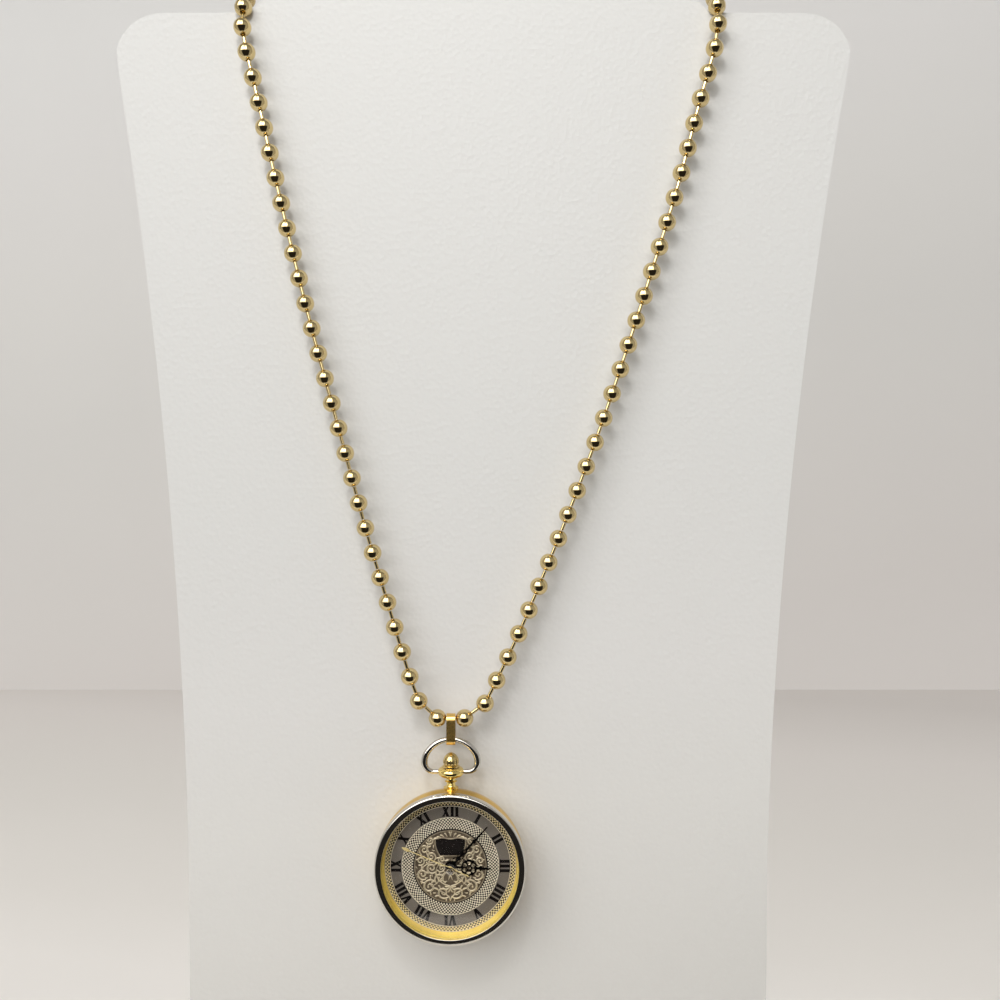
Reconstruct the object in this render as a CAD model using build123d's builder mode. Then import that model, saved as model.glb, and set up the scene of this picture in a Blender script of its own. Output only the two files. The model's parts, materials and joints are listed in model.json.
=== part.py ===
from build123d import *
import os
from math import asin, atan2, cos, degrees, radians, sin

os.makedirs("parts", exist_ok=True)

# Pendant watch on a ball-chain necklace, in millimetres, hanging as it is worn.
# +Z is up, the dial faces -Y and +X is to the right as the dial is read.
# The origin is the middle of the necklace, at the nape of the neck.
# Heights in the watch are measured along -Y from the winding stem's axis: plus is the dial side.

# Necklace: ball chain
ball_diameter = 4.1
ball_mouth_diameter = 1.1
ball_bands = 6
ball_pitch = 5.94
link_diameter = 0.85
link_clearance = 0.02
pendant_link_pitch = 6.2
front_drop = 157.95
front_lean = 0.5
front_left_width = 47.8
front_right_width = 61.1
nape_offset = 6.4
nape_depth = 101.5
nape_rise = 64.7
# Shares of the side's width and of the drop, from the pendant link up to the shoulder
left_front_shares = (
    (0.158, 0.027), (0.201, 0.064), (0.237, 0.099), (0.308, 0.172),
    (0.379, 0.243), (0.511, 0.389), (0.675, 0.573), (0.796, 0.723),
    (0.893, 0.852), (0.959, 0.939), (1.0, 1.0),
)
right_front_shares = (
    (0.123, 0.019), (0.169, 0.053), (0.21, 0.086), (0.328, 0.19),
    (0.401, 0.259), (0.508, 0.366), (0.633, 0.504), (0.756, 0.652),
    (0.871, 0.801), (0.945, 0.911), (1.0, 1.0),
)
# Shares of the way out from the nape, of the nape's depth and of its rise, from the shoulder on
neck_shares = (
    (1.005, 0.012, 0.07), (1.01, 0.05, 0.135), (1.02, 0.12, 0.245), (1.025, 0.25, 0.40),
    (0.99, 0.43, 0.59), (0.89, 0.62, 0.765), (0.70, 0.80, 0.895), (0.42, 0.94, 0.97),
)

# Necklace: coupling sleeve that holds the two end balls
sleeve_wall = 0.3
sleeve_clearance = 0.1
sleeve_ball_gap = 0.9
sleeve_mouth_diameter = 1.6
sleeve_slot_width = 1.1

# Bail: flat strip loop between the chain and the bow
bail_reach = 4.8
bail_width = 2.0
bail_strip = 0.6
bail_inner_width = 1.7
bail_clearance = 0.05
bow_play = 0.12

# Bow: wire ring whose two ends pivot in the pendant head
bow_half_width = 6.1
bow_height = 7.4
bow_corner_radius = 2.2
bow_side_radius = 4.0
bow_side_wire_diameter = 1.56
bow_top_wire_diameter = 1.16
bow_foot_wire_diameter = 1.0
bow_pin_diameter = 0.9
bow_pin_clearance = 0.04
bow_pin_reach = 1.5

# Pendant head, tube and crown
pendant_rise = 3.75
head_radius = 3.0
head_thickness = 1.96
head_flat_radius = 1.6
tube_top_radius = 1.55
tube_top_thickness = 0.45
tube_waist_radius = 1.0
tube_ring_radius = 1.4
tube_ring_thickness = 0.4
tube_waist_length = 0.5
tube_base_radius = 1.7
tube_base_thickness = 0.25
tube_spigot_radius = 1.2
tube_seat_depth = 0.6
stem_bore_radius = 0.68
gasket_seat_radius = 1.05
gasket_seat_depth = 0.6
gasket_thickness = 0.4
gasket_clearance = 0.02
crown_gap = 0.2
crown_skirt_radius = 1.95
crown_skirt_thickness = 0.35
crown_neck_radius = 1.62
crown_waist_share = 0.22
crown_radius = 1.82
crown_height = 3.2
crown_tip_radius = 0.3
crown_dome_share = 0.82
crown_dome_fullness = 1.7
crown_flutes = 16
crown_flute_radius = 0.2
crown_bore_depth = 1.3
crown_pull = 0.6

# Case, bezel, crystal and back; the rings across are set in from the case's or the bezel's outside
case_radius = 16.9
case_wall = 1.4
case_front = 3.2
case_waist_height = 1.2
case_rear = -3.4
case_rear_taper = 1.25
case_front_taper = 0.15
case_belly_share = 0.45
bezel_overhang = 0.15
bezel_widest = 4.4
bezel_top = 5.6
bezel_crest_width = 0.8
bezel_rim_width = 1.65
bezel_lip_height = 5.15
bezel_lip_thickness = 0.35
bezel_rebate_depth = 0.55
crystal_seal_width = 0.2
crystal_edge_thickness = 0.75
crystal_dome = 1.0
crystal_seat_gap = 0.03
rehaut_inset = 0.1
rehaut_slope_width = 0.45
rehaut_gap = 0.05
back_seal_width = 0.55
back_skirt_wall = 0.45
back_skirt_height = 0.4
back_plate_thickness = 0.35
back_dome = 0.85
back_gasket_gap = 0.04

# Dial and its raised rings, and the applied centre medallion; the tracks are told from the edge inwards
dial_back = 1.9
dial_thickness = 0.4
dial_gap = 0.2
dial_edge_width = 0.5
minute_track_width = 1.2
chapter_width = 2.6
guilloche_width = 2.83
dial_ring_width = 0.12
dial_ring_height = 0.06
dial_sink = 0.08
medallion_thickness = 0.12
dial_foot_radius = 0.35
dial_foot_length = 1.6
dial_foot_ring = 11.2
dial_foot_angles = (200.0, 340.0)
dial_hole_radius = 0.95

# Hands, as shares of their length from the pivot to the tip where no size is named
hour_hand_length = 9.1
minute_hand_length = 12.4
lower_loop_share = 0.17
upper_loop_share = 0.15
seconds_hand_length = 11.8
seconds_tail_length = 4.6
hand_thickness = 0.15
hand_gap = 0.32
hour_hand_angle = 93.1
minute_hand_angle = 42.4
seconds_hand_angle = 293.2
hour_boss_radius = 1.25
minute_boss_radius = 1.0
hour_rosette_radius = 1.95
hour_rosette_share = 0.46
hour_rosette_wire = 0.22
minute_scroll_width = 1.15
minute_scroll_wire = 0.26
hand_stem_width = 0.34
hand_point_width = 0.12
seconds_width = 0.16
seconds_boss_radius = 0.42
seconds_counter_radius = 0.5

# Movement: plate, ring and bridges
movement_radius = 12.8
plate_front = 1.0
plate_rear = -0.8
ring_gap = 0.05
ring_case_gap = 0.1
ring_rear = -2.9
ring_stem_radius = 0.8
barrel_bridge_rear = -2.2
barrel_bridge_angle = 115.0
barrel_bridge_edge = -0.3
barrel_bridge_inset = 0.2
train_bridge_front = -3.05
train_bridge_rear = -3.45
bridge_arm_radius = 1.5
bridge_foot_radius = 1.3
cock_front = -2.95
cock_arm_radius = 1.2
cock_foot_radius = 1.7
pallet_bridge_front = -1.45
pallet_bridge_rear = -1.7
pallet_bridge_radius = 0.8
train_foot_places = ((9.9, 1.8), (8.6, -4.2))
cock_foot_place = (-4.6, -9.2)
pallet_foot_places = ((-0.8, -4.9), (5.2, -5.6))
barrel_screw_places = ((-8.9, -1.3), (-8.6, 8.2), (5.2, 9.3))
screw_head_radius = 0.65
screw_head_thickness = 0.35
screw_shank_radius = 0.28
screw_depth = 0.9
screw_fit = 0.02
screw_slot_width = 0.16
screw_slot_depth = 0.14
clamp_angles = (150.0, 270.0, 20.0)
clamp_length = 2.2
clamp_width = 1.7
clamp_thickness = 0.25
clamp_overlap = 0.7
clamp_screw_ring = 13.75

# Going train: barrel, centre, third, fourth and escape wheels
tooth_addendum_share = 0.8
tooth_dedendum_share = 1.15
tooth_tip_share = 0.09
tooth_root_share = 0.27
barrel_teeth = 72
centre_pinion_teeth = 12
barrel_module = 0.13
centre_teeth = 64
third_pinion_teeth = 8
centre_module = 0.1
third_teeth = 60
fourth_pinion_teeth = 8
fourth_teeth = 70
escape_pinion_teeth = 7
fourth_module = 0.09
escape_teeth = 15
escape_radius = 2.3
escape_root_radius = 1.8
escape_lean = 9.0
escape_tip_width = 3.0
escape_foot_width = 9.0
barrel_angle = 132.1
third_angle = 25.0
escape_angle = 320.0
train_turn_gap = 0.1
barrel_radius = 4.35
barrel_wall = 0.4
barrel_floor = 0.2
barrel_front = 0.35
barrel_rear = -1.35
barrel_teeth_thickness = 0.4
barrel_pocket_gap = 0.1
barrel_cover_thickness = 0.21
arbor_core_radius = 1.2
arbor_pivot_radius = 0.5
arbor_bearing_radius = 0.6
arbor_square = 0.8
shaft_fit = 0.03
mainspring_turns = 6
mainspring_strip = 0.2
mainspring_end_gap = 0.12
centre_pinion_rear = -1.4
centre_wheel_front = -1.5
centre_wheel_rear = -1.65
centre_tube_radius = 0.36
centre_tube_bore = 0.2
centre_tube_end = -1.72
third_pinion_rear = -1.78
third_wheel_front = -1.9
third_wheel_rear = -2.05
fourth_pinion_front = -1.8
fourth_wheel_front = -2.75
fourth_wheel_rear = -2.9
fourth_arbor_radius = 0.15
escape_wheel_front = -1.15
escape_wheel_rear = -1.3
escape_pinion_front = -2.65
escape_pinion_rear = -3.0
arbor_radius = 0.2
pivot_radius = 0.09
pivot_length = 0.22
pivot_fit = 0.03
spoke_width = 0.34
rim_width = 0.42
wheel_hub_radius = 0.62
wheel_spokes = 5
escape_spokes = 4
balance_spokes = 3

# Escapement: pallet fork, balance and hairspring
pallet_distance = 2.9
pallet_spread = 30.0
pallet_gap = 0.03
pallet_stone_length = 0.55
pallet_stone_width = 0.3
pallet_front = -1.1
pallet_rear = -1.35
lever_length = 2.3
lever_width = 0.28
fork_width = 0.72
fork_length = 0.36
fork_notch = 0.28
balance_distance = 8.2
balance_angle = 283.4
balance_radius = 4.2
balance_rim_width = 0.45
balance_front = -2.1
balance_rear = -2.38
balance_staff_radius = 0.3
roller_radius = 0.9
roller_front = -1.45
roller_rear = -1.6
impulse_pin_radius = 0.08
hairspring_turns = 5
hairspring_strip = 0.09
hairspring_inner_radius = 0.75
hairspring_outer_radius = 2.6
hairspring_front = -2.5
hairspring_rear = -2.65

# Motion works under the dial
motion_module = 0.12
cannon_teeth = 12
minute_wheel_teeth = 36
minute_pinion_teeth = 10
hour_wheel_teeth = 40
setting_wheel_teeth = 24
motion_front = 1.0
motion_rear = 0.75
motion_recess = 0.7
motion_turn_gap = 0.15
hour_wheel_rear = 1.15
hour_wheel_front = 1.4
cannon_pipe_radius = 0.5
hour_pipe_radius = 0.8
pipe_fit = 0.05
post_radius = 0.3

# Keyless works: winding pinion, sliding pinion, crown wheel, ratchet, lever and yoke
winding_teeth = 16
contrate_teeth = 18
winding_module = 0.2
crown_wheel_teeth = 30
ratchet_teeth = 48
ratchet_module = 0.16
crown_wheel_place = 9.1
crown_wheel_thickness = 0.35
contrate_ring_width = 0.45
contrate_tooth_width = 0.2
ratchet_gap = 0.05
crown_core_radius = 0.9
winding_length = 0.8
winding_inner_end = 10.5
winding_bore_radius = 0.42
stem_radius = 0.6
stem_pilot_radius = 0.25
stem_square = 0.56
stem_inner_end = 7.05
stem_square_start = 8.6
stem_square_end = 10.4
stem_waist_radius = 0.4
stem_collar_start = 11.35
stem_groove_start = 11.5
stem_groove_width = 0.35
slider_inner_end = 8.95
slider_outer_end = 10.45
slider_radius = 1.0
slider_groove_radius = 0.65
slider_groove_start = 9.5
slider_groove_width = 0.4
slider_square = 0.62
slider_travel = 1.0
dog_count = 6
dog_height = 0.2
dog_width = 0.3
dog_inner_radius = 0.55
setting_tooth_count = 12
setting_tooth_width = 0.2
keyless_gap = 0.1
lever_front = 1.3
lever_rear = 1.05
lever_pivot_offset = 2.2
lever_pin_radius = 0.14
lever_arm_radius = 0.42
yoke_pivot_offset = 3.2
yoke_arm_radius = 0.3
yoke_pin_radius = 0.15
pivot_screw_radius = 0.2
click_angle = 200.0
click_distance = 5.6
click_beak_angle = 214.0
click_hub_radius = 0.75
click_screw_share = 0.8
click_beak_radius = 0.08
click_spring_width = 0.16
click_spring_sweep = 80.0
jewel_radius = 0.45
jewel_thickness = 0.25
overrun = 0.5

# Worked-out radii of the case and the dial
case_wall_radius = case_radius - case_wall
case_rear_radius = case_radius - case_rear_taper
case_front_radius = case_radius - case_front_taper
bezel_radius = case_radius + bezel_overhang
bezel_crest_radius = bezel_radius - bezel_crest_width
bezel_lip_radius = bezel_radius - bezel_rim_width
bezel_rebate_radius = bezel_lip_radius + bezel_rebate_depth
crystal_radius = bezel_rebate_radius - crystal_seal_width
rehaut_top_radius = bezel_lip_radius - rehaut_inset
rehaut_foot_radius = rehaut_top_radius - rehaut_slope_width
rehaut_flange_radius = bezel_rebate_radius - rehaut_gap
rehaut_body_radius = case_wall_radius - rehaut_gap
back_skirt_radius = case_wall_radius - back_seal_width
dial_radius = case_wall_radius - dial_gap
minute_track_radius = dial_radius - dial_edge_width
chapter_radius = minute_track_radius - minute_track_width
guilloche_radius = chapter_radius - chapter_width
medallion_radius = guilloche_radius - guilloche_width
ring_outer_radius = case_wall_radius - ring_case_gap
pendant_pivot_height = case_radius + pendant_rise

# Worked-out places of the necklace
ball_radius = ball_diameter / 2
link_radius = link_diameter / 2
link_point = Vector(-nape_offset, -front_lean - nape_depth, -front_drop - nape_rise)
pendant_height = pendant_pivot_height + bow_height + bail_reach
watch_centre = link_point - Vector(0, 0, pendant_height)


def level(height, place=(0, 0), turn=0):
    """The plane of the dial at a height, about a place of the dial, turned by an angle."""
    return Plane(
        origin=watch_centre + Vector(place[0], -height, place[1]),
        x_dir=(cos(radians(turn)), 0, sin(radians(turn))),
        z_dir=(0, -1, 0),
    )


def across(distance):
    """The plane square to the stem at a distance above the middle of the dial."""
    return Plane(origin=watch_centre + Vector(0, 0, distance), x_dir=(1, 0, 0), z_dir=(0, 0, 1))


def polar(radius, angle, centre=(0, 0)):
    """A place of the dial, by its distance and direction from another place."""
    return (centre[0] + radius * cos(radians(angle)), centre[1] + radius * sin(radians(angle)))


dial_axis = Axis(watch_centre, (0, -1, 0))
stem_axis = Axis(watch_centre, (0, 0, 1))
dial_section = Plane(origin=watch_centre, x_dir=(1, 0, 0), z_dir=(0, 0, -1))


def disc(place, radius, low, high, mode=Mode.ADD):
    """A round piece or hole across the dial, between two heights."""
    with BuildSketch(level(low, place)) as outline:
        Circle(radius)
    extrude(outline.sketch, amount=high - low, mode=mode)


def rod(radius, start, end, mode=Mode.ADD):
    """A round piece or hole along the stem, between two distances from the dial's middle."""
    with BuildSketch(across(start)) as outline:
        Circle(radius)
    extrude(outline.sketch, amount=end - start, mode=mode)


def square_rod(side, start, end, mode=Mode.ADD):
    """A square piece or hole along the stem."""
    with BuildSketch(across(start)) as outline:
        Rectangle(side, side)
    extrude(outline.sketch, amount=end - start, mode=mode)


def bar(places, radius, low, high, mode=Mode.ADD):
    """A flat bar or plate with round corners about some places of the dial."""
    with BuildSketch(level(low)) as outline:
        with Locations(*places):
            Circle(radius)
        make_hull()
    extrude(outline.sketch, amount=high - low, mode=mode)


def spun(points, axis=dial_axis, plane=dial_section, mode=Mode.ADD):
    """A ring or round piece turned from a straight-sided profile of radius and height."""
    with BuildSketch(plane) as profile:
        with BuildLine():
            Polyline(*points, close=True)
        make_face()
    revolve(profile.sketch, axis=axis, mode=mode)


def ring(inner, outer, low, high, mode=Mode.ADD):
    """A plain ring about the dial's axis."""
    spun([(inner, low), (outer, low), (outer, high), (inner, high)], mode=mode)


def tooth_outline(teeth, module, phase):
    """Corners of a wheel with tapered teeth, one of them centred at the phase angle."""
    pitch_radius = teeth * module / 2
    tip_radius = pitch_radius + tooth_addendum_share * module
    root_radius = pitch_radius - tooth_dedendum_share * module
    pitch_angle = 360 / teeth
    corners = []
    for tooth in range(teeth):
        middle = phase + tooth * pitch_angle
        for radius, half_share in (
            (root_radius, -tooth_root_share),
            (tip_radius, -tooth_tip_share),
            (tip_radius, tooth_tip_share),
            (root_radius, tooth_root_share),
        ):
            corners.append(polar(radius, middle + half_share * pitch_angle))
    return corners


def toothed(plane, teeth, module, phase, thickness):
    """The toothed blank of a wheel or pinion, standing on its plane."""
    with BuildSketch(plane) as outline:
        with BuildLine():
            Polyline(*tooth_outline(teeth, module, phase), close=True)
        make_face()
    extrude(outline.sketch, amount=thickness)


def gear(place, low, high, teeth, module, phase):
    """A wheel or pinion across the dial."""
    toothed(level(low, place), teeth, module, phase, high - low)


def windows(place, low, high, outer, inner, spokes, turn=0):
    """Cuts the gaps between the spokes of a wheel."""
    with BuildSketch(level(low, place, turn)) as gaps:
        Circle(outer)
        Circle(inner, mode=Mode.SUBTRACT)
        with PolarLocations(0, spokes):
            Rectangle(outer + overrun, spoke_width, align=(Align.MIN, Align.CENTER), mode=Mode.SUBTRACT)
    extrude(gaps.sketch, amount=high - low, mode=Mode.SUBTRACT)


def pitch_radius(teeth, module):
    """Pitch radius of a wheel."""
    return teeth * module / 2


def tip_radius(teeth, module):
    """Radius over the tips of a wheel's teeth."""
    return pitch_radius(teeth, module) + tooth_addendum_share * module


def spiral_strip(place, height, thickness, inner, outer, strip, turns):
    """A flat spiral spring of half-turn arcs, with its two ends squared off."""
    step = (outer - inner) / (2 * turns)
    with BuildSketch(level(height, place)) as outline:
        with BuildLine():
            for half in range(2 * turns):
                shift = step if half % 2 else 0
                for edge in (-strip / 2, strip / 2):
                    CenterArc((shift, 0), inner + step * half + edge, 180 * (half % 2), 180)
            for end in (inner, outer):
                Line((end - strip / 2, 0), (end + strip / 2, 0))
        make_face()
    extrude(outline.sketch, amount=thickness)


def finish(piece, name):
    """Labels a finished piece and writes it out."""
    piece.part.label = name
    export_step(piece.part, f"parts/{name}.step")


# Train places: each wheel stands a centre distance from the one that drives it
crown_wheel_centre = (0, crown_wheel_place)
barrel_distance = pitch_radius(barrel_teeth + centre_pinion_teeth, barrel_module)
barrel_place = polar(barrel_distance, barrel_angle)
third_distance = pitch_radius(centre_teeth + third_pinion_teeth, centre_module)
third_module = 2 * third_distance / (third_teeth + fourth_pinion_teeth)
third_place = polar(third_distance, third_angle)
escape_distance = pitch_radius(fourth_teeth + escape_pinion_teeth, fourth_module)
escape_place = polar(escape_distance, escape_angle)
balance_place = polar(balance_distance, balance_angle)
escape_to_balance = degrees(
    atan2(balance_place[1] - escape_place[1], balance_place[0] - escape_place[0])
)
pallet_place = polar(pallet_distance, escape_to_balance, escape_place)
pallet_to_balance = degrees(
    atan2(balance_place[1] - pallet_place[1], balance_place[0] - pallet_place[0])
)
minute_wheel_place = (0, pitch_radius(cannon_teeth + minute_wheel_teeth, motion_module))
setting_wheel_place = (
    0,
    minute_wheel_place[1] + pitch_radius(minute_wheel_teeth + setting_wheel_teeth, motion_module),
)
hour_module = 2 * minute_wheel_place[1] / (minute_pinion_teeth + hour_wheel_teeth)
contrate_radius = pitch_radius(contrate_teeth, winding_module)
winding_outer_end = winding_inner_end + winding_length
click_place = polar(click_distance, click_angle, barrel_place)
groove_middle = stem_groove_start + stem_groove_width / 2
lever_pivot = (lever_pivot_offset, groove_middle + crown_pull / 2)
slider_groove_middle = slider_groove_start + slider_groove_width / 2
yoke_pivot = (-yoke_pivot_offset, slider_groove_middle - slider_travel / 2)

# Heights of the dial, pipes and hands
dial_front = dial_back + dial_thickness
hour_hand_rear = dial_front + hand_gap
minute_hand_rear = hour_hand_rear + hand_thickness + hand_gap
seconds_hand_rear = minute_hand_rear + hand_thickness + hand_gap
crystal_front_edge = bezel_lip_height - bezel_lip_thickness
crystal_rear_edge = crystal_front_edge - crystal_edge_thickness
wheel_rear = barrel_bridge_rear - ratchet_gap
wheel_top = wheel_rear - crown_wheel_thickness


def strand_route(side, width, front_shares):
    """The line of one side of the necklace, from beside the pendant link round to the nape."""
    points = [link_point + Vector(side * pendant_link_pitch / 2, 0, 0)]
    for out, up in front_shares:
        points.append(link_point + Vector(side * out * width, up * front_lean, up * front_drop))
    way_out = width - side * nape_offset
    for out, back, up in neck_shares:
        shoulder = link_point + Vector(0, front_lean, front_drop)
        reach = nape_offset + side * out * way_out
        points.append(shoulder + Vector(reach, back * nape_depth, up * nape_rise))
    points.append(Vector(side * (ball_diameter + sleeve_ball_gap) / 2, 0, 0))
    return Spline(*points)


def strand_frames(route):
    """Planes at the ball centres of one side, each square to the route."""
    gaps = round(route.length / ball_pitch)
    return [Plane(origin=route @ (ball / gaps), z_dir=route % (ball / gaps)) for ball in range(gaps + 1)]


def is_front(frame):
    """True below the shoulder, where the front strand swings."""
    return frame.origin.Z <= link_point.Z + front_drop


left_frames = strand_frames(strand_route(-1, front_left_width, left_front_shares))
right_frames = strand_frames(strand_route(1, front_right_width, right_front_shares))
left_front_count = sum(1 for frame in left_frames if is_front(frame))
right_front_count = sum(1 for frame in right_frames if is_front(frame))


def swing_point(frames, count):
    """Middle of the rounded link end that turns in the first ball behind the shoulder."""
    last, first = frames[count - 1].origin, frames[count].origin
    away = (last - first).normalized()
    return first + away * (ball_radius + link_clearance + link_radius)


left_swing = swing_point(left_frames, left_front_count)
right_swing = swing_point(right_frames, right_front_count)

# One ball: bands turned about the chain's line, with a flat mouth at each end
with BuildPart() as ball:
    with BuildSketch(Plane.XZ) as ball_profile:
        with BuildLine():
            mouth_angle = degrees(atan2(ball_mouth_diameter / 2, ball_radius))
            band_angle = (180 - 2 * mouth_angle) / ball_bands
            rim = [
                polar(ball_radius, mouth_angle - 90 + band * band_angle)
                for band in range(ball_bands + 1)
            ]
            Polyline((0, rim[0][1]), *rim, (0, rim[-1][1]), close=True)
        make_face()
    revolve(axis=Axis.Z)


def strand_link(start, end, rounded_end=False):
    """A straight wire between two balls, rounded where it turns in the second one."""
    along = (end - start).normalized()
    wire_start = start + along * (ball_radius + link_clearance)
    wire_end = end - along * (ball_radius + link_clearance)
    if rounded_end:
        wire_end = wire_end - along * link_radius
    wire_length = (wire_end - wire_start).length
    with BuildSketch(Plane(origin=wire_start, z_dir=along)) as wire:
        Circle(link_radius)
    extrude(wire.sketch, amount=wire_length)
    if rounded_end:
        with Locations(Plane(origin=wire_end, z_dir=along)):
            Sphere(link_radius)


with BuildPart() as chain_front_balls:
    with Locations(*left_frames[:left_front_count], *right_frames[:right_front_count]):
        add(ball.part)
finish(chain_front_balls, "chain_front_balls")

with BuildPart() as chain_neck_balls:
    with Locations(*left_frames[left_front_count:], *right_frames[right_front_count:]):
        add(ball.part)
finish(chain_neck_balls, "chain_neck_balls")

with BuildPart() as chain_front_links:
    strand_link(left_frames[0].origin, right_frames[0].origin)
    for frames, count in ((left_frames, left_front_count), (right_frames, right_front_count)):
        for number in range(count):
            turns_here = number == count - 1
            strand_link(frames[number].origin, frames[number + 1].origin, turns_here)
finish(chain_front_links, "chain_front_links")

with BuildPart() as chain_neck_links:
    for frames, count in ((left_frames, left_front_count), (right_frames, right_front_count)):
        for number in range(count, len(frames) - 1):
            strand_link(frames[number].origin, frames[number + 1].origin)
finish(chain_neck_links, "chain_neck_links")

# Coupling sleeve at the nape, open along its underside so that the links can be pushed in
sleeve_bore_radius = ball_radius + sleeve_clearance
sleeve_inner_half = ball_diameter + sleeve_ball_gap / 2 + sleeve_clearance
sleeve_half = sleeve_inner_half + sleeve_wall
with BuildPart() as chain_connector:
    with BuildSketch(Plane.YZ):
        Circle(sleeve_bore_radius + sleeve_wall)
    extrude(amount=sleeve_half, both=True)
    with BuildSketch(Plane.YZ):
        Circle(sleeve_bore_radius)
    extrude(amount=sleeve_inner_half, both=True, mode=Mode.SUBTRACT)
    with BuildSketch(Plane.YZ):
        Circle(sleeve_mouth_diameter / 2)
        with Locations((0, -sleeve_bore_radius)):
            Rectangle(sleeve_slot_width, 2 * sleeve_bore_radius)
    extrude(amount=sleeve_half + overrun, both=True, mode=Mode.SUBTRACT)
    with BuildSketch(Plane.XY):
        Circle(ball_radius + sleeve_clearance)
    extrude(amount=-sleeve_bore_radius - sleeve_wall - overrun, mode=Mode.SUBTRACT)
finish(chain_connector, "chain_connector")

# Bail: closed strip that hangs on the pendant link and carries the bow
bail_top = pendant_height + link_radius + bail_clearance
bow_top_radius = bow_top_wire_diameter / 2
bow_pivot_height = pendant_pivot_height + bow_height
bail_bottom = bow_pivot_height - bow_top_radius - bow_play
bail_inner_height = bail_top - bail_bottom
bail_plane = Plane(
    origin=watch_centre + Vector(0, 0, (bail_top + bail_bottom) / 2), x_dir=(0, 1, 0), z_dir=(1, 0, 0)
)
with BuildPart() as bail:
    with BuildSketch(bail_plane):
        SlotOverall(bail_inner_height + 2 * bail_strip, bail_inner_width + 2 * bail_strip, rotation=90)
        SlotOverall(bail_inner_height, bail_inner_width, rotation=90, mode=Mode.SUBTRACT)
    extrude(amount=bail_width / 2, both=True)
finish(bail, "bail")

# Bow: one half swept from its pivot pin to the top, then mirrored
bow_plane = level(0, (0, pendant_pivot_height))
bow_rise = bow_height - bow_corner_radius
bow_shoulder = bow_half_width - bow_side_radius
bow_crown_radius = (bow_shoulder**2 + bow_rise**2 - bow_side_radius**2) / (
    2 * (bow_rise - bow_side_radius)
)
bow_turn = degrees(atan2(bow_corner_radius - bow_height + bow_crown_radius, bow_shoulder))
with BuildPart() as bow:
    with BuildLine(bow_plane):
        foot = CenterArc((bow_half_width - bow_corner_radius, bow_corner_radius), bow_corner_radius, -90, 90)
    with BuildLine(bow_plane) as arch:
        CenterArc((bow_shoulder, bow_corner_radius), bow_side_radius, 0, bow_turn)
        crest = CenterArc((0, bow_height - bow_crown_radius), bow_crown_radius, bow_turn, 90 - bow_turn)
    with BuildSketch(Plane(origin=foot @ 0, z_dir=foot % 0)) as foot_section:
        Circle(bow_foot_wire_diameter / 2)
    with BuildSketch(Plane(origin=foot @ 1, z_dir=foot % 1)) as side_section:
        Circle(bow_side_wire_diameter / 2)
    with BuildSketch(Plane(origin=crest @ 1, z_dir=crest % 1)) as crest_section:
        Circle(bow_top_radius)
    sweep(sections=[foot_section.sketch, side_section.sketch], path=foot, multisection=True)
    sweep(sections=[side_section.sketch, crest_section.sketch], path=arch.line, multisection=True)
    with BuildSketch(Plane(origin=foot @ 0, z_dir=foot % 0)) as straight_section:
        Circle(bow_foot_wire_diameter / 2)
    pin_start = bow_half_width - bow_corner_radius - head_radius
    extrude(straight_section.sketch, amount=-pin_start + bow_pin_clearance)
    with BuildSketch(Plane(origin=foot @ 0, z_dir=foot % 0)) as pin_section:
        Circle(bow_pin_diameter / 2)
    extrude(pin_section.sketch, amount=bow_pin_reach + bow_corner_radius - bow_half_width)
    mirror(about=Plane(origin=watch_centre, z_dir=(1, 0, 0)))
finish(bow, "bow")

# Case middle: a rounded band, bored for the movement, with a hole and a flat seat for the pendant tube
tube_seat = case_radius - tube_seat_depth
with BuildPart() as case_middle:
    with BuildSketch(dial_section) as case_profile:
        with BuildLine():
            Polyline(
                (case_rear_radius, case_rear),
                (case_wall_radius, case_rear),
                (case_wall_radius, case_front),
                (case_front_radius, case_front),
                (case_radius, case_waist_height),
            )
            belly_height = case_rear + (case_waist_height - case_rear) * case_belly_share
            ThreePointArc(
                (case_radius, case_waist_height),
                (case_radius - (case_radius - case_rear_radius) * (1 - case_belly_share) ** 2, belly_height),
                (case_rear_radius, case_rear),
            )
        make_face()
    revolve(axis=dial_axis)
    rod(tube_spigot_radius, case_wall_radius - overrun, case_radius + overrun, Mode.SUBTRACT)
    rod(tube_base_radius, tube_seat, case_radius + overrun, Mode.SUBTRACT)
finish(case_middle, "case_middle")

# Pendant tube: turned rings over a flared foot that sits on the case, with its spigot inside
head_bottom = pendant_pivot_height - head_thickness / 2
head_top = pendant_pivot_height + head_thickness / 2
tube_flange_bottom = head_bottom - tube_top_thickness
ring_top = tube_flange_bottom - tube_waist_length
ring_bottom = ring_top - tube_ring_thickness
foot_top = case_radius + tube_base_thickness
with BuildPart() as pendant_tube:
    with BuildSketch(level(0)) as tube_profile:
        with BuildLine():
            Polyline(
                (tube_waist_radius, foot_top + tube_base_radius - tube_waist_radius),
                (tube_waist_radius, ring_bottom),
                (tube_ring_radius, ring_bottom + tube_ring_thickness / 3),
                (tube_ring_radius, ring_top - tube_ring_thickness / 3),
                (tube_waist_radius, ring_top),
                (tube_waist_radius, tube_flange_bottom - tube_ring_thickness / 3),
                (tube_top_radius, tube_flange_bottom + tube_ring_thickness / 3),
                (tube_top_radius, head_bottom),
                (stem_bore_radius, head_bottom),
                (stem_bore_radius, case_wall_radius),
                (tube_spigot_radius, case_wall_radius),
                (tube_spigot_radius, tube_seat),
                (tube_base_radius, tube_seat),
                (tube_base_radius, foot_top),
            )
            RadiusArc(
                (tube_base_radius, foot_top),
                (tube_waist_radius, foot_top + tube_base_radius - tube_waist_radius),
                tube_base_radius - tube_waist_radius,
            )
        make_face()
    revolve(axis=stem_axis)
finish(pendant_tube, "pendant_tube")

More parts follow.
